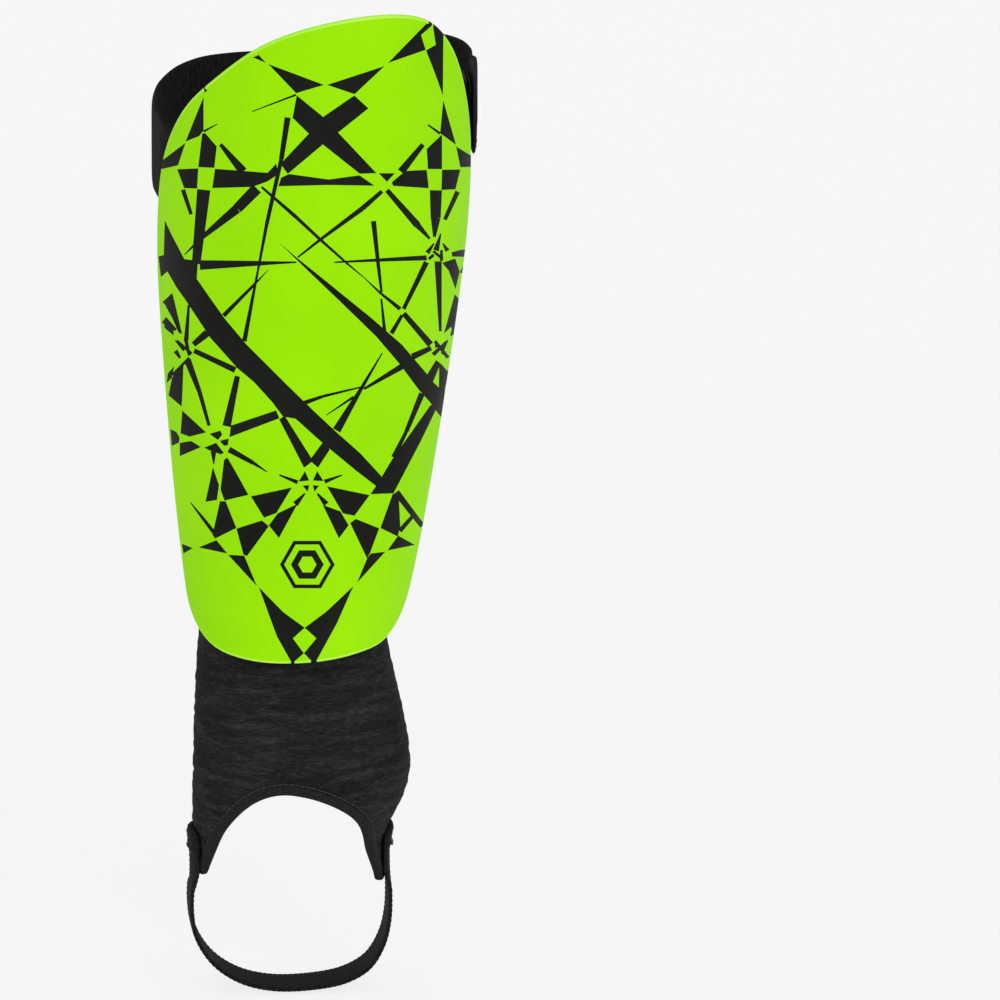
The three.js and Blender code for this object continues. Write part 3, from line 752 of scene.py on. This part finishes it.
def box_of_stitches(name, place, low, high, material, body, crossed=True):
    """A sewn box, with its diagonals. place(a, b) gives a point and the direction out of the cloth."""
    (a0, b0), (a1, b1) = low, high
    corners = [(a0, b0), (a1, b0), (a1, b1), (a0, b1), (a0, b0)]
    lines = list(zip(corners, corners[1:]))
    if crossed:
        lines += [((a0, b0), (a1, b1)), ((a0, b1), (a1, b0))]
    paths = []
    for (a, b), (c, d) in lines:
        steps = [k / 12 for k in range(13)]
        paths.append([place(a + (c - a) * t, b + (d - b) * t) for t in steps])
    return stitches(name, paths, material, body, length=1.7, pitch=2.3, radius=0.22)


# ---- webbing ----

STRAP_WIDTH = 28
STRAP_THICKNESS = 1.4
STRAP_HEIGHT = 168.3
STRAP_CLIMB = 0.165
TAB_HINGE = (53.6, 20.6)
PATCH_THICKNESS = 1
LAYER_GAP = 0.3
SEWN_HALF_WIDTH = 11
RIBS = (1.7, 0.16)  # pitch and depth of the ribs across the strap
FOLD_ROUNDING = 1.5
FOLD_THICKER = 0.6


def strap_point(x, y):
    """A point of the strap's middle line, which climbs towards +X."""
    return Vector((x, y, STRAP_HEIGHT + STRAP_CLIMB * x))


def ribbon(name, path, across, half_width, thickness, material, rib=None, corner=0, folded=0):
    """A band of webbing along a path, with rounded edges and, where rib gives (pitch, depth), a
    rib across it at every pitch. Its ends are rounded by corner, and are double over the length
    given by folded."""
    step = 0.4
    line = smooth_curve(path, max(2, round(length_of(path) / step)))
    total = length_of(line)
    columns = 12
    sections = []
    for point, tangent, walked in zip(line, directions(line), distances_along(line)):
        out = tangent.cross(across).normalized()
        from_end = min(walked, total - walked)
        half = half_width
        if from_end < corner:
            half += math.sqrt(corner ** 2 - (corner - from_end) ** 2) - corner
        thick = thickness / 2
        if rib:
            thick += rib[1] * (math.cos(2 * math.pi * walked / rib[0]) - 1) / 2
        if from_end < folded:
            past_fold = min(1, (folded - from_end) / FOLD_ROUNDING)
            to_end = min(1, from_end / FOLD_ROUNDING)
            thick *= (1 + FOLD_THICKER * past_fold) * (0.4 + 0.6 * math.sqrt(to_end * (2 - to_end)))
        section = []
        for side in (1, -1):
            for k in range(columns):
                share = -side * math.cos(math.pi * k / columns)
                rise = side * thick * max(0, 1 - share ** 8) ** 0.3
                section.append(point + across * half * share + out * rise)
        sections.append(section)
    return swept(name, sections, material)


STRAP_PATH = [
    (-48.2, 6), (-49, 18), (-49.6, 32), (-48.4, 48), (-44.8, 65), (-37.8, 79), (-30, 84), (-20.5, 82.5),
    (-9, 77), (6, 72.5), (20, 70), (34, 67.5), (45.8, 60), (52.3, 48), (54.8, 36), (54.8, 28.5), (53.6, 21.8),
]


def make_strap(materials):
    webbing = {"half_width": STRAP_WIDTH / 2, "thickness": STRAP_THICKNESS,
               "material": materials["elastic"], "rib": RIBS}
    tail_depth = PAD_DEPTH + 1.5
    tail = [pad_point_at(angle, STRAP_HEIGHT - 5.5, tail_depth) for angle in (-44, -52, -60, -67)]
    tail = [strap_point(point.x, point.y) for point in tail]
    path = tail + [strap_point(x, y) for x, y in STRAP_PATH]
    strap = ribbon("calf_webbing", path, UP, **webbing)
    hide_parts("strap_sewn_tail", "calf_strap")
    length_of(smooth_curve(path, 300)) * MM
    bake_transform(strap)

    def on_tail(angle, across):
        point = pad_point_at(angle, STRAP_HEIGHT - 5.5, tail_depth + STRAP_THICKNESS / 2)
        inwards = Vector((shell_axis_x(point.z) - point.x, SHELL_AXIS_Y - point.y, 0)).normalized()
        return strap_point(point.x, point.y) + UP * across, inwards

    for side, low, high in (("tail", -62, -47), ("anchor", 45, 60)):
        low, high = (low, -SEWN_HALF_WIDTH), (high, SEWN_HALF_WIDTH)
        box = box_of_stitches(f"{side}_stitches", on_tail, low, high, materials["thread"], "guard")

    anchor_x = 49.3
    inner = [pad_point_at(angle, STRAP_HEIGHT + 6, tail_depth) for angle in (42, 50, 57, 63)]
    path = [strap_point(point.x, point.y) for point in inner]
    path += [strap_point(anchor_x - 1, -4), strap_point(anchor_x, 3), strap_point(anchor_x, 20)]
    anchor = ribbon("anchor_webbing", path, UP, **webbing)
    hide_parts("strap_anchor_inner", "strap_anchor")
    length_of(smooth_curve(path, 100)) * MM
    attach(anchor, "guard")


def make_tab(materials):
    tape = {"half_width": STRAP_WIDTH / 2, "thickness": STRAP_THICKNESS, "material": materials["tape"]}
    outside = STRAP_THICKNESS + 0.1
    path = [strap_point(TAB_HINGE[0], y) for y in (-4.5, 2, 9, 15, 19)]
    over_strap = ((TAB_HINGE[0] + 0.8, 22), (54.6 + outside, 26), (54.8 + outside, 29.5))
    path += [strap_point(x, y) for x, y in over_strap]
    tab = ribbon("tab_webbing", path, UP, rib=(1.1, 0.08), corner=8, **tape)
    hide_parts("strap_tab")
    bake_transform(tab)

    def on_tab(y, across):
        return strap_point(TAB_HINGE[0] + STRAP_THICKNESS / 2, y) + UP * across, Vector((1, 0, 0))

    outline = box_of_stitches("tab_stitches", on_tab, (-1, -SEWN_HALF_WIDTH), (12, SEWN_HALF_WIDTH),
                              materials["thread"], "tab", crossed=False)

    hook_x = TAB_HINGE[0] - STRAP_THICKNESS / 2 - LAYER_GAP - PATCH_THICKNESS / 2
    loop_x = hook_x - LAYER_GAP - PATCH_THICKNESS
    pressed = PATCH_THICKNESS + 1.8 * LAYER_GAP  # the hooks reach into the pile
    patch = {"half_width": STRAP_WIDTH / 2 - 2, "thickness": pressed, "corner": 3}
    hooks = ribbon("hook_tape", [strap_point(hook_x, y) for y in (-2, 3, 8, 13)], UP,
                   material=materials["hooks"], rib=(1.2, 0.3), **patch)
    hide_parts("hook_patch")
    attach(hooks, "tab")
    pile = ribbon("loop_pile", [strap_point(loop_x, y) for y in (0.3, 6, 11, 17)], UP,
                  material=materials["pile"], **patch)
    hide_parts("loop_patch")
    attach(pile, "guard")


# ---- ankle sleeve ----

SLEEVE_WALL = 1.8
SLEEVE_AXIS = (-6, 6)
SLEEVE_TOP = 40
HEM_HEIGHT = 4
EAR_TIP = -81.6
EAR_LEAN = -1.7  # how much lower the ear at +X reaches, and how much higher the other
FRONT_ARCH = (-47.3, 0.25, 1.05, 0.14)  # height of the top, start, roundness, lean to -X
HEEL_ARCH = (-46, 0.2, 1, 0)
BINDING_HEIGHT = 3.6

# The sleeve's reach from its axis, as (height, reach).
SLEEVE_LEFT = [
    (-80, 32.2), (-70, 32.4), (-60, 33.4), (-42, 33), (-20, 32.5), (0, 31.2), (15, 29.6), (40, 29),
]
SLEEVE_RIGHT = [
    (-80, 29.8), (-70, 29.8), (-64, 32), (-54, 37), (-42, 38.8), (-22, 35.5), (0, 30.8), (15, 29.5),
    (40, 29.5),
]
SLEEVE_FRONT = [(-80, 29), (-50, 30), (-20, 30), (0, 29), (20, 31.4), (40, 34.2)]
SLEEVE_BACK = [(-80, 18.5), (-40, 21), (0, 19), (40, 19)]


def along_stations(position, stations):
    """A smooth value along a short table of (position, value) in rising order."""
    last = len(stations) - 1
    inside_table = min(max(position, stations[0][0]), stations[last][0])
    k = 0
    while k < last - 1 and inside_table > stations[k + 1][0]:
        k += 1
    slope = lambda a, b: (stations[b][1] - stations[a][1]) / (stations[b][0] - stations[a][0])
    (x0, y0), (x1, y1) = stations[k], stations[k + 1]
    width = x1 - x0
    start = slope(max(k - 1, 0), k + 1) * width
    end = slope(k, min(k + 2, last)) * width
    return hermite(y0, y1, start, end, (inside_table - x0) / width)


def sleeve_point(angle_deg, z, depth):
    """A point of the sleeve: angle is 0 on the +X side and 90 at the heel."""
    angle = math.radians(angle_deg)
    across = along_stations(z, SLEEVE_RIGHT if math.cos(angle) > 0 else SLEEVE_LEFT) - depth
    along = along_stations(z, SLEEVE_BACK if math.sin(angle) > 0 else SLEEVE_FRONT) - depth
    return Vector((SLEEVE_AXIS[0] + across * math.cos(angle), SLEEVE_AXIS[1] + along * math.sin(angle), z))


def sleeve_out(angle_deg, z):
    """The direction out of the sleeve."""
    round_leg = sleeve_point(angle_deg + 1, z, 0) - sleeve_point(angle_deg - 1, z, 0)
    upwards = sleeve_point(angle_deg, z + 1, 0) - sleeve_point(angle_deg, z - 1, 0)
    return round_leg.cross(upwards).normalized()


def lower_edge(angle_deg):
    """The height of the sleeve's lower edge, which is arched at the front and at the heel."""
    sine = math.sin(math.radians(angle_deg))
    cosine = math.cos(math.radians(angle_deg))
    top, start, roundness, skew = HEEL_ARCH if sine > 0 else FRONT_ARCH
    from_top = cosine + skew * sine ** 4
    steepness = math.sqrt(max(0, 1 - from_top ** 2))
    rise = max(0, (steepness - start) / (1 - start)) ** roundness
    tip = EAR_TIP + EAR_LEAN * cosine
    return tip + (top - tip) * rise


def wrinkle(angle_deg, z):
    """How far the knit stands out, in small level ripples that fade above the ankle."""
    angle = math.radians(angle_deg)
    round_x, round_y = math.cos(angle) * 2.6, math.sin(angle) * 2.6
    ripple = noise(Vector((round_x, round_y, z * 0.42)))
    fine = noise(Vector((round_x * 3, round_y * 3, z * 1.1 + 40)))
    amount = 0.35 + 0.65 * min(1, max(0, (6 - z) / 30))
    return amount * (0.42 * ripple + 0.14 * fine)


def make_sleeve(materials):
    around = 200
    rows = 110
    top = SLEEVE_TOP - HEM_HEIGHT + 0.5
    sections = []
    for step in range(around):
        angle = 360 * step / around
        bottom = lower_edge(angle) + 1.2
        heights = [top + (bottom - top) * row / rows for row in range(rows + 1)]
        out = [
            sleeve_point(angle, z, 0) + sleeve_out(angle, z) * wrinkle(angle, z)
            for z in heights
        ]
        back = [sleeve_point(angle, z, SLEEVE_WALL) for z in reversed(heights)]
        sections.append(out + back)
    sleeve = swept("knit_sleeve", sections, materials["knit"], ring=True)
    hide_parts("sleeve_upper", "sleeve_flex_zone", "sleeve_lower")
    heights = [lower_edge(360 * step / around) for step in range(around)]
    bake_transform(sleeve)


def rolled_band(name, angles, centre_height, half_height, half_thickness, material, ring=False):
    """A rounded band of tape on the sleeve. centre_height gives its height at each angle."""
    line = [sleeve_point(angle, centre_height(angle), SLEEVE_WALL / 2) for angle in angles]
    sides = 16
    sections = []
    for angle, point, tangent in zip(angles, line, directions(line, closed=ring)):
        out = sleeve_out(angle, centre_height(angle))
        up = tangent.cross(out).normalized()
        out = up.cross(tangent).normalized()
        section = []
        for side in range(sides):
            turn = 2 * math.pi * side / sides
            c, s = math.cos(turn), math.sin(turn)
            reach = (abs(c) ** 3.4 + abs(s) ** 3.4) ** (-1 / 3.4)
            section.append(point + up * half_height * reach * s + out * half_thickness * reach * c)
        sections.append(section)
    return swept(name, sections, material, ring=ring)


def spread(start, end, count):
    return [start + (end - start) * k / (count - 1) for k in range(count)]


def make_edges(materials):
    full_turn = [360 * k / 180 for k in range(180)]
    half = HEM_HEIGHT / 2
    hem = rolled_band("hem_tape", full_turn, lambda angle: SLEEVE_TOP - half, half,
                      SLEEVE_WALL / 2 + 0.3, materials["tape"], ring=True)
    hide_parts("sleeve_hem")
    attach(hem, "guard")
    sewn_height = SLEEVE_TOP - HEM_HEIGHT + 0.9
    path = [
        (sleeve_point(angle, sewn_height, -0.32), sleeve_out(angle, sewn_height))
        for angle in full_turn + [360]
    ]
    sewn = stitches("hem_stitches", [path], materials["thread"], "guard", length=2.2, pitch=3, radius=0.2)
    half = BINDING_HEIGHT / 2
    centre = lambda angle: lower_edge(angle) + half
    for name, node, start, end in (
        ("arch_tape", "arch_binding", -175, -5),
        ("heel_tape", "heel_binding", 5, 175),
    ):
        tape = rolled_band(name, spread(start, end, 150), centre, half, SLEEVE_WALL / 2 + 0.65,
                           materials["tape"])
        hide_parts(node)
        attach(tape, "ankle")
        path = []
        for angle in spread(start, end, 200):
            z = lower_edge(angle) + BINDING_HEIGHT + 0.3
            out = sleeve_out(angle, z)
            path.append((sleeve_point(angle, z, 0) + out * 0.2, out))
        seam = stitches(f"{name}_stitches", [path], materials["thread"], "ankle",
                        length=1.8, pitch=1.9, radius=0.28)


# ---- cloth ----

CLOTH_STEPS = 16


def inflate(piece, sewn, caps):
    """Swells a closed piece as cloth under pressure. Sewn points stay, and no point moves further
    than its cap, in millimetres. The result is applied to the mesh."""
    mesh = piece.data
    group = piece.vertex_groups.new(name="sewn")
    group.add(sewn, 1, "REPLACE")
    modifier = piece.modifiers.new("cloth", "CLOTH")
    modifier.settings.vertex_group_mass = "sewn"
    modifier.settings.use_pressure = True
    modifier.settings.uniform_pressure_force = 4
    modifier.settings.quality = 6
    modifier.settings.effector_weights.gravity = 0
    modifier.point_cache.frame_start = 1
    modifier.point_cache.frame_end = CLOTH_STEPS
    before = np.empty(len(mesh.vertices) * 3, np.float32)
    after = before.copy()
    mesh.vertices.foreach_get("co", before)
    scene = bpy.context.scene
    for step in range(1, CLOTH_STEPS + 1):
        scene.frame_set(step)
    swollen = piece.evaluated_get(bpy.context.evaluated_depsgraph_get()).data
    swollen.vertices.foreach_get("co", after)
    moves = (after - before).reshape(-1, 3)
    lengths = np.maximum(np.linalg.norm(moves, axis=1), 1e-9)
    limits = np.asarray(caps) * MM
    moves *= (limits * np.tanh(lengths / limits) / lengths)[:, None]
    piece.modifiers.remove(modifier)
    scene.frame_set(1)
    mesh.vertices.foreach_set("co", before + moves.ravel())
    mesh.update()


# ---- side pads ----

PAD_FACETS = 72
DISC_RADIUS = 17
DISC_THICKNESS = 4
DISC_DEPTH = 2.52
DISC_CENTRE = (-4, -44)
POCKET_RADIUS = 20
POCKET_THICKNESS = 0.8
POCKET_ROWS = 24


def disc_point(right, turn, reach, depth):
    """A point of the round pad on one side, at a distance from its middle."""
    y = DISC_CENTRE[0] + reach * math.cos(turn)
    z = DISC_CENTRE[1] + reach * math.sin(turn)
    half = along_stations(z, SLEEVE_BACK if y > 0 else SLEEVE_FRONT)
    angle = math.degrees(math.asin(y / half))
    return sleeve_point(angle if right else 180 - angle, z, depth)


def round_pad(name, right, profile, material):
    """A closed round form: profile is a list of (distance from the middle, depth)."""
    rings = [
        [disc_point(right, 2 * math.pi * k / PAD_FACETS, reach, depth) for k in range(PAD_FACETS)]
        for reach, depth in profile
    ]
    middles = [disc_point(right, 0, 0, profile[row][1]) for row in (0, -1)]
    return swept(name, rings, material, centres=middles)


def disc_thickness(reach):
    """The disc is domed towards the ankle, and thin at its rim."""
    return DISC_THICKNESS * (1 - min(1, reach / DISC_RADIUS) ** 3) ** 0.7


def make_side_pads(materials):
    for side, right in (("left", False), ("right", True)):
        flat_radius = DISC_RADIUS - 0.4
        outer = [(reach, DISC_DEPTH) for reach in spread(2, flat_radius, 10)]
        rim = [(DISC_RADIUS, DISC_DEPTH + 0.4)]
        inner = [(reach, DISC_DEPTH + max(0.8, disc_thickness(reach))) for reach in spread(flat_radius, 2, 20)]
        disc = round_pad(f"foam_disc_{side}", right, outer + rim + inner, materials["foam"])
        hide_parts(f"ankle_disc_{side}")
        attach(disc, "ankle")
        outer = [(reach, pocket_depth(reach)) for reach in spread(1, POCKET_RADIUS - 0.6, POCKET_ROWS)]
        inner = [
            (reach, pocket_depth(reach) + POCKET_THICKNESS)
            for reach in spread(POCKET_RADIUS, 1, POCKET_ROWS)
        ]
        pocket = round_pad(f"pocket_cloth_{side}", right, outer + inner, materials["lining"])
        edge_rows = range(POCKET_ROWS - 3, POCKET_ROWS + 3)
        sewn = [row * PAD_FACETS + k for row in edge_rows for k in range(PAD_FACETS)]
        inflate(pocket, sewn, [0.9] * len(pocket.data.vertices))
        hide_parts(f"disc_pocket_{side}")
        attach(pocket, "ankle")


def pocket_depth(reach):
    """The pocket lies over the foam disc and comes down to the sleeve at its sewn edge."""
    over_disc = DISC_DEPTH + disc_thickness(reach) + 0.4
    return max(over_disc - 0.6 * (reach / POCKET_RADIUS) ** 6, SLEEVE_WALL + 0.2)


# ---- lining and sewing panel ----

CHANNEL_ANGLES = (-32, 0, 32)
CHANNEL_ENDS = (42, 204)
LINING_SWELL = 2
TIGHT_SWELL = 0.5  # under the sewn ends of the strap and the sleeve's patch


def room_for_swelling(arc, z):
    """How far the lining may stand out into the guard."""
    angle = abs(math.degrees(arc / shell_radius(z)))
    from_straps = max(0, 142 - z, 36 - angle)
    from_patch = max(0, z - 36, angle - 29)
    share = min(1, from_straps / 10, from_patch / 10)
    return TIGHT_SWELL + (LINING_SWELL - TIGHT_SWELL) * share * share * (3 - 2 * share)


def make_lining(materials):
    rim = 0.6
    sheet = cut_sheet(LINING_INSET + rim, 3)
    flat, _, loop = sheet
    rim_points = flat[loop]
    depths = []
    sewn = []
    for number, (arc, z) in enumerate(flat):
        from_edge = float(np.min(np.hypot(*(rim_points - (arc, z)).T)))
        channel = min(abs(arc - math.radians(angle) * shell_radius(z)) for angle in CHANNEL_ANGLES)
        past_end = max(CHANNEL_ENDS[0] - z, z - CHANNEL_ENDS[1], 0)
        from_channel = math.hypot(channel, past_end)
        rise = math.sin(math.pi / 2 * min(1, from_edge / 7, from_channel / 7))
        depths.append(PAD_DEPTH + 0.7 * room_for_swelling(arc, z) * rise)
        if from_edge < 3 or from_channel < 1.6:
            sewn.append(number)
    lining = pad_layer("pad_lining", sheet, LINING_DEPTH, LINING_THICKNESS, rim, [materials["lining"]],
                       inner_depth=depths)
    count = len(flat)
    every = len(lining.data.vertices)
    held = list(range(count)) + [count + number for number in sewn] + list(range(2 * count, every))
    caps = [0.3 * room_for_swelling(arc, z) for arc, z in flat]
    inflate(lining, held, caps + caps + [0.1] * (every - 2 * count))
    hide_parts("backing_lining")
    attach(lining, "guard")
    edge = pad_outline(LINING_INSET + 4, 2)
    paths = [[(pad_point(arc, z, PAD_DEPTH + 0.3), -face_direction(arc, z)) for arc, z in edge + edge[:1]]]
    for angle in CHANNEL_ANGLES:
        arcs = [(math.radians(angle) * shell_radius(z), z) for z in spread(*CHANNEL_ENDS, 50)]
        paths.append([(pad_point(arc, z, PAD_DEPTH + 0.1), -face_direction(arc, z)) for arc, z in arcs])
    thread = stitches("lining_stitches", paths, materials["thread"], "guard")


def make_panel(materials):
    """The patch that joins the sleeve's front to the lining."""
    reach = 26
    depth = PAD_DEPTH + 0.6
    rows = spread(8, 33, 14)
    sections = []
    for angle in spread(-reach, reach, 40):
        outer = [pad_point_at(angle, z, depth) for z in rows]
        inner = [pad_point_at(angle, z, depth + 0.6) for z in reversed(rows)]
        sections.append(outer + inner)
    panel = swept("sewing_patch", sections, materials["tape"])
    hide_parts("sleeve_sewing_panel")
    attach(panel, "guard")


# ---- stirrup ----

STIRRUP_WIDTH = 19
STIRRUP_THICKNESS = 1.6
SOLE_Z = -120.3
STIRRUP_LINE = [
    (-40.9, -65), (-40.7, -70.5), (-40.5, -77), (-40.5, -82), (-40.9, -92), (-39.4, -101.5), (-33.8, -110.8),
    (-25, -117.2), (-14, SOLE_Z), (0, SOLE_Z), (11.4, -118.1), (19.3, -113.4), (24, -105.8), (26.1, -97.4),
    (26.5, -88), (26.2, -82), (26.1, -77), (26.2, -70.5), (27.2, -65),
]
EAR_BEND = (-86, -79)  # the heights between which the stirrup comes to lie round the ears


def round_ear(point):
    """Bends the upper ends of the stirrup round the ears of the sleeve."""
    share = min(1, max(0, (point.z - EAR_BEND[0]) / (EAR_BEND[1] - EAR_BEND[0])))
    half_depth = along_stations(point.z, SLEEVE_BACK if point.y > SLEEVE_AXIS[1] else SLEEVE_FRONT)
    at_right = point.x > SLEEVE_AXIS[0]
    half_width = along_stations(point.z, SLEEVE_RIGHT if at_right else SLEEVE_LEFT)
    sine = (point.y - SLEEVE_AXIS[1]) / half_depth
    drop = half_width * (1 - math.sqrt(1 - sine ** 2)) * share
    return Vector((point.x + (-drop if at_right else drop), point.y, point.z))


def make_stirrup(materials):
    half = STIRRUP_THICKNESS / 2
    outer = [Vector((x, SLEEVE_AXIS[1], z)) for x, z in STIRRUP_LINE]
    inwards = [Vector((-tangent.z, 0, tangent.x)) for tangent in directions(outer)]
    path = [point + direction * half for point, direction in zip(outer, inwards)]
    stirrup = ribbon("stirrup_webbing", path, Vector((0, 1, 0)), STIRRUP_WIDTH / 2, STIRRUP_THICKNESS,
                     materials["elastic"], rib=(1.7, 0.18), corner=4, folded=8.5)
    for vertex in stirrup.data.vertices:
        vertex.co = round_ear(vertex.co / MM) * MM
    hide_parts("stirrup")
    length_of(smooth_curve(path, 200)) * MM
    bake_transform(stirrup)

    for name, x, side in (("left", -41.2, -1), ("right", 27, 1)):
        def on_end(z, across):
            return round_ear(Vector((x, SLEEVE_AXIS[1] + across, z))), Vector((side, 0, 0))

        box = box_of_stitches(f"stirrup_stitches_{name}", on_end, (-71.5, -7), (-67, 7),
                              materials["thread"], "ankle", crossed=False)


# ---- studio ----


def make_studio():
    half = 9000
    corners = [(-half, -half, 0), (half, -half, 0), (half, half, 0), (-half, half, 0)]
    floor = new_piece("floor", corners, [(0, 1, 2, 3)], [])
    floor.location.z = cad_box[0].z - 1 * MM
    paper = Shader("pale_floor", 0.9, specular=0.0)
    paper.colour(paper.ramp(paper.grain(0.6, 2), (0, (0.13, 0.13, 0.13, 1)), (1, (0.14, 0.14, 0.14, 1))))
    paper.surface.inputs["Emission Color"].default_value = (1, 1, 1, 1)
    paper.surface.inputs["Emission Strength"].default_value = 0.82
    floor.data.materials.append(paper.material)

    world = bpy.data.worlds.new("studio")
    world.use_nodes = True
    background = world.node_tree.nodes["Background"]
    background.inputs["Color"].default_value = (1, 1, 1, 1)
    background.inputs["Strength"].default_value = 0.6
    bpy.context.scene.world = world

    for name, direction, strength, angle in (
        ("key", (0.2, -1, 0.55), 1.03, 40),
        ("fill", (-0.8, -0.6, 0.6), 0.1, 60),
    ):
        light = bpy.data.lights.new(name, "SUN")
        light.energy = strength
        light.angle = math.radians(angle)
        lamp = bpy.data.objects.new(name, light)
        lamp.rotation_euler = Vector(direction).to_track_quat("Z", "Y").to_euler()
        bpy.context.scene.collection.objects.link(lamp)
    bpy.context.scene.view_settings.view_transform = "Standard"


# ---- assembly ----

make_camera()
make_studio()
finishes = make_materials()
for make in (
    make_shell, make_foam, make_lining, make_panel, make_strap, make_tab, make_sleeve, make_edges,
    make_side_pads, make_stirrup,
):
    make(finishes)
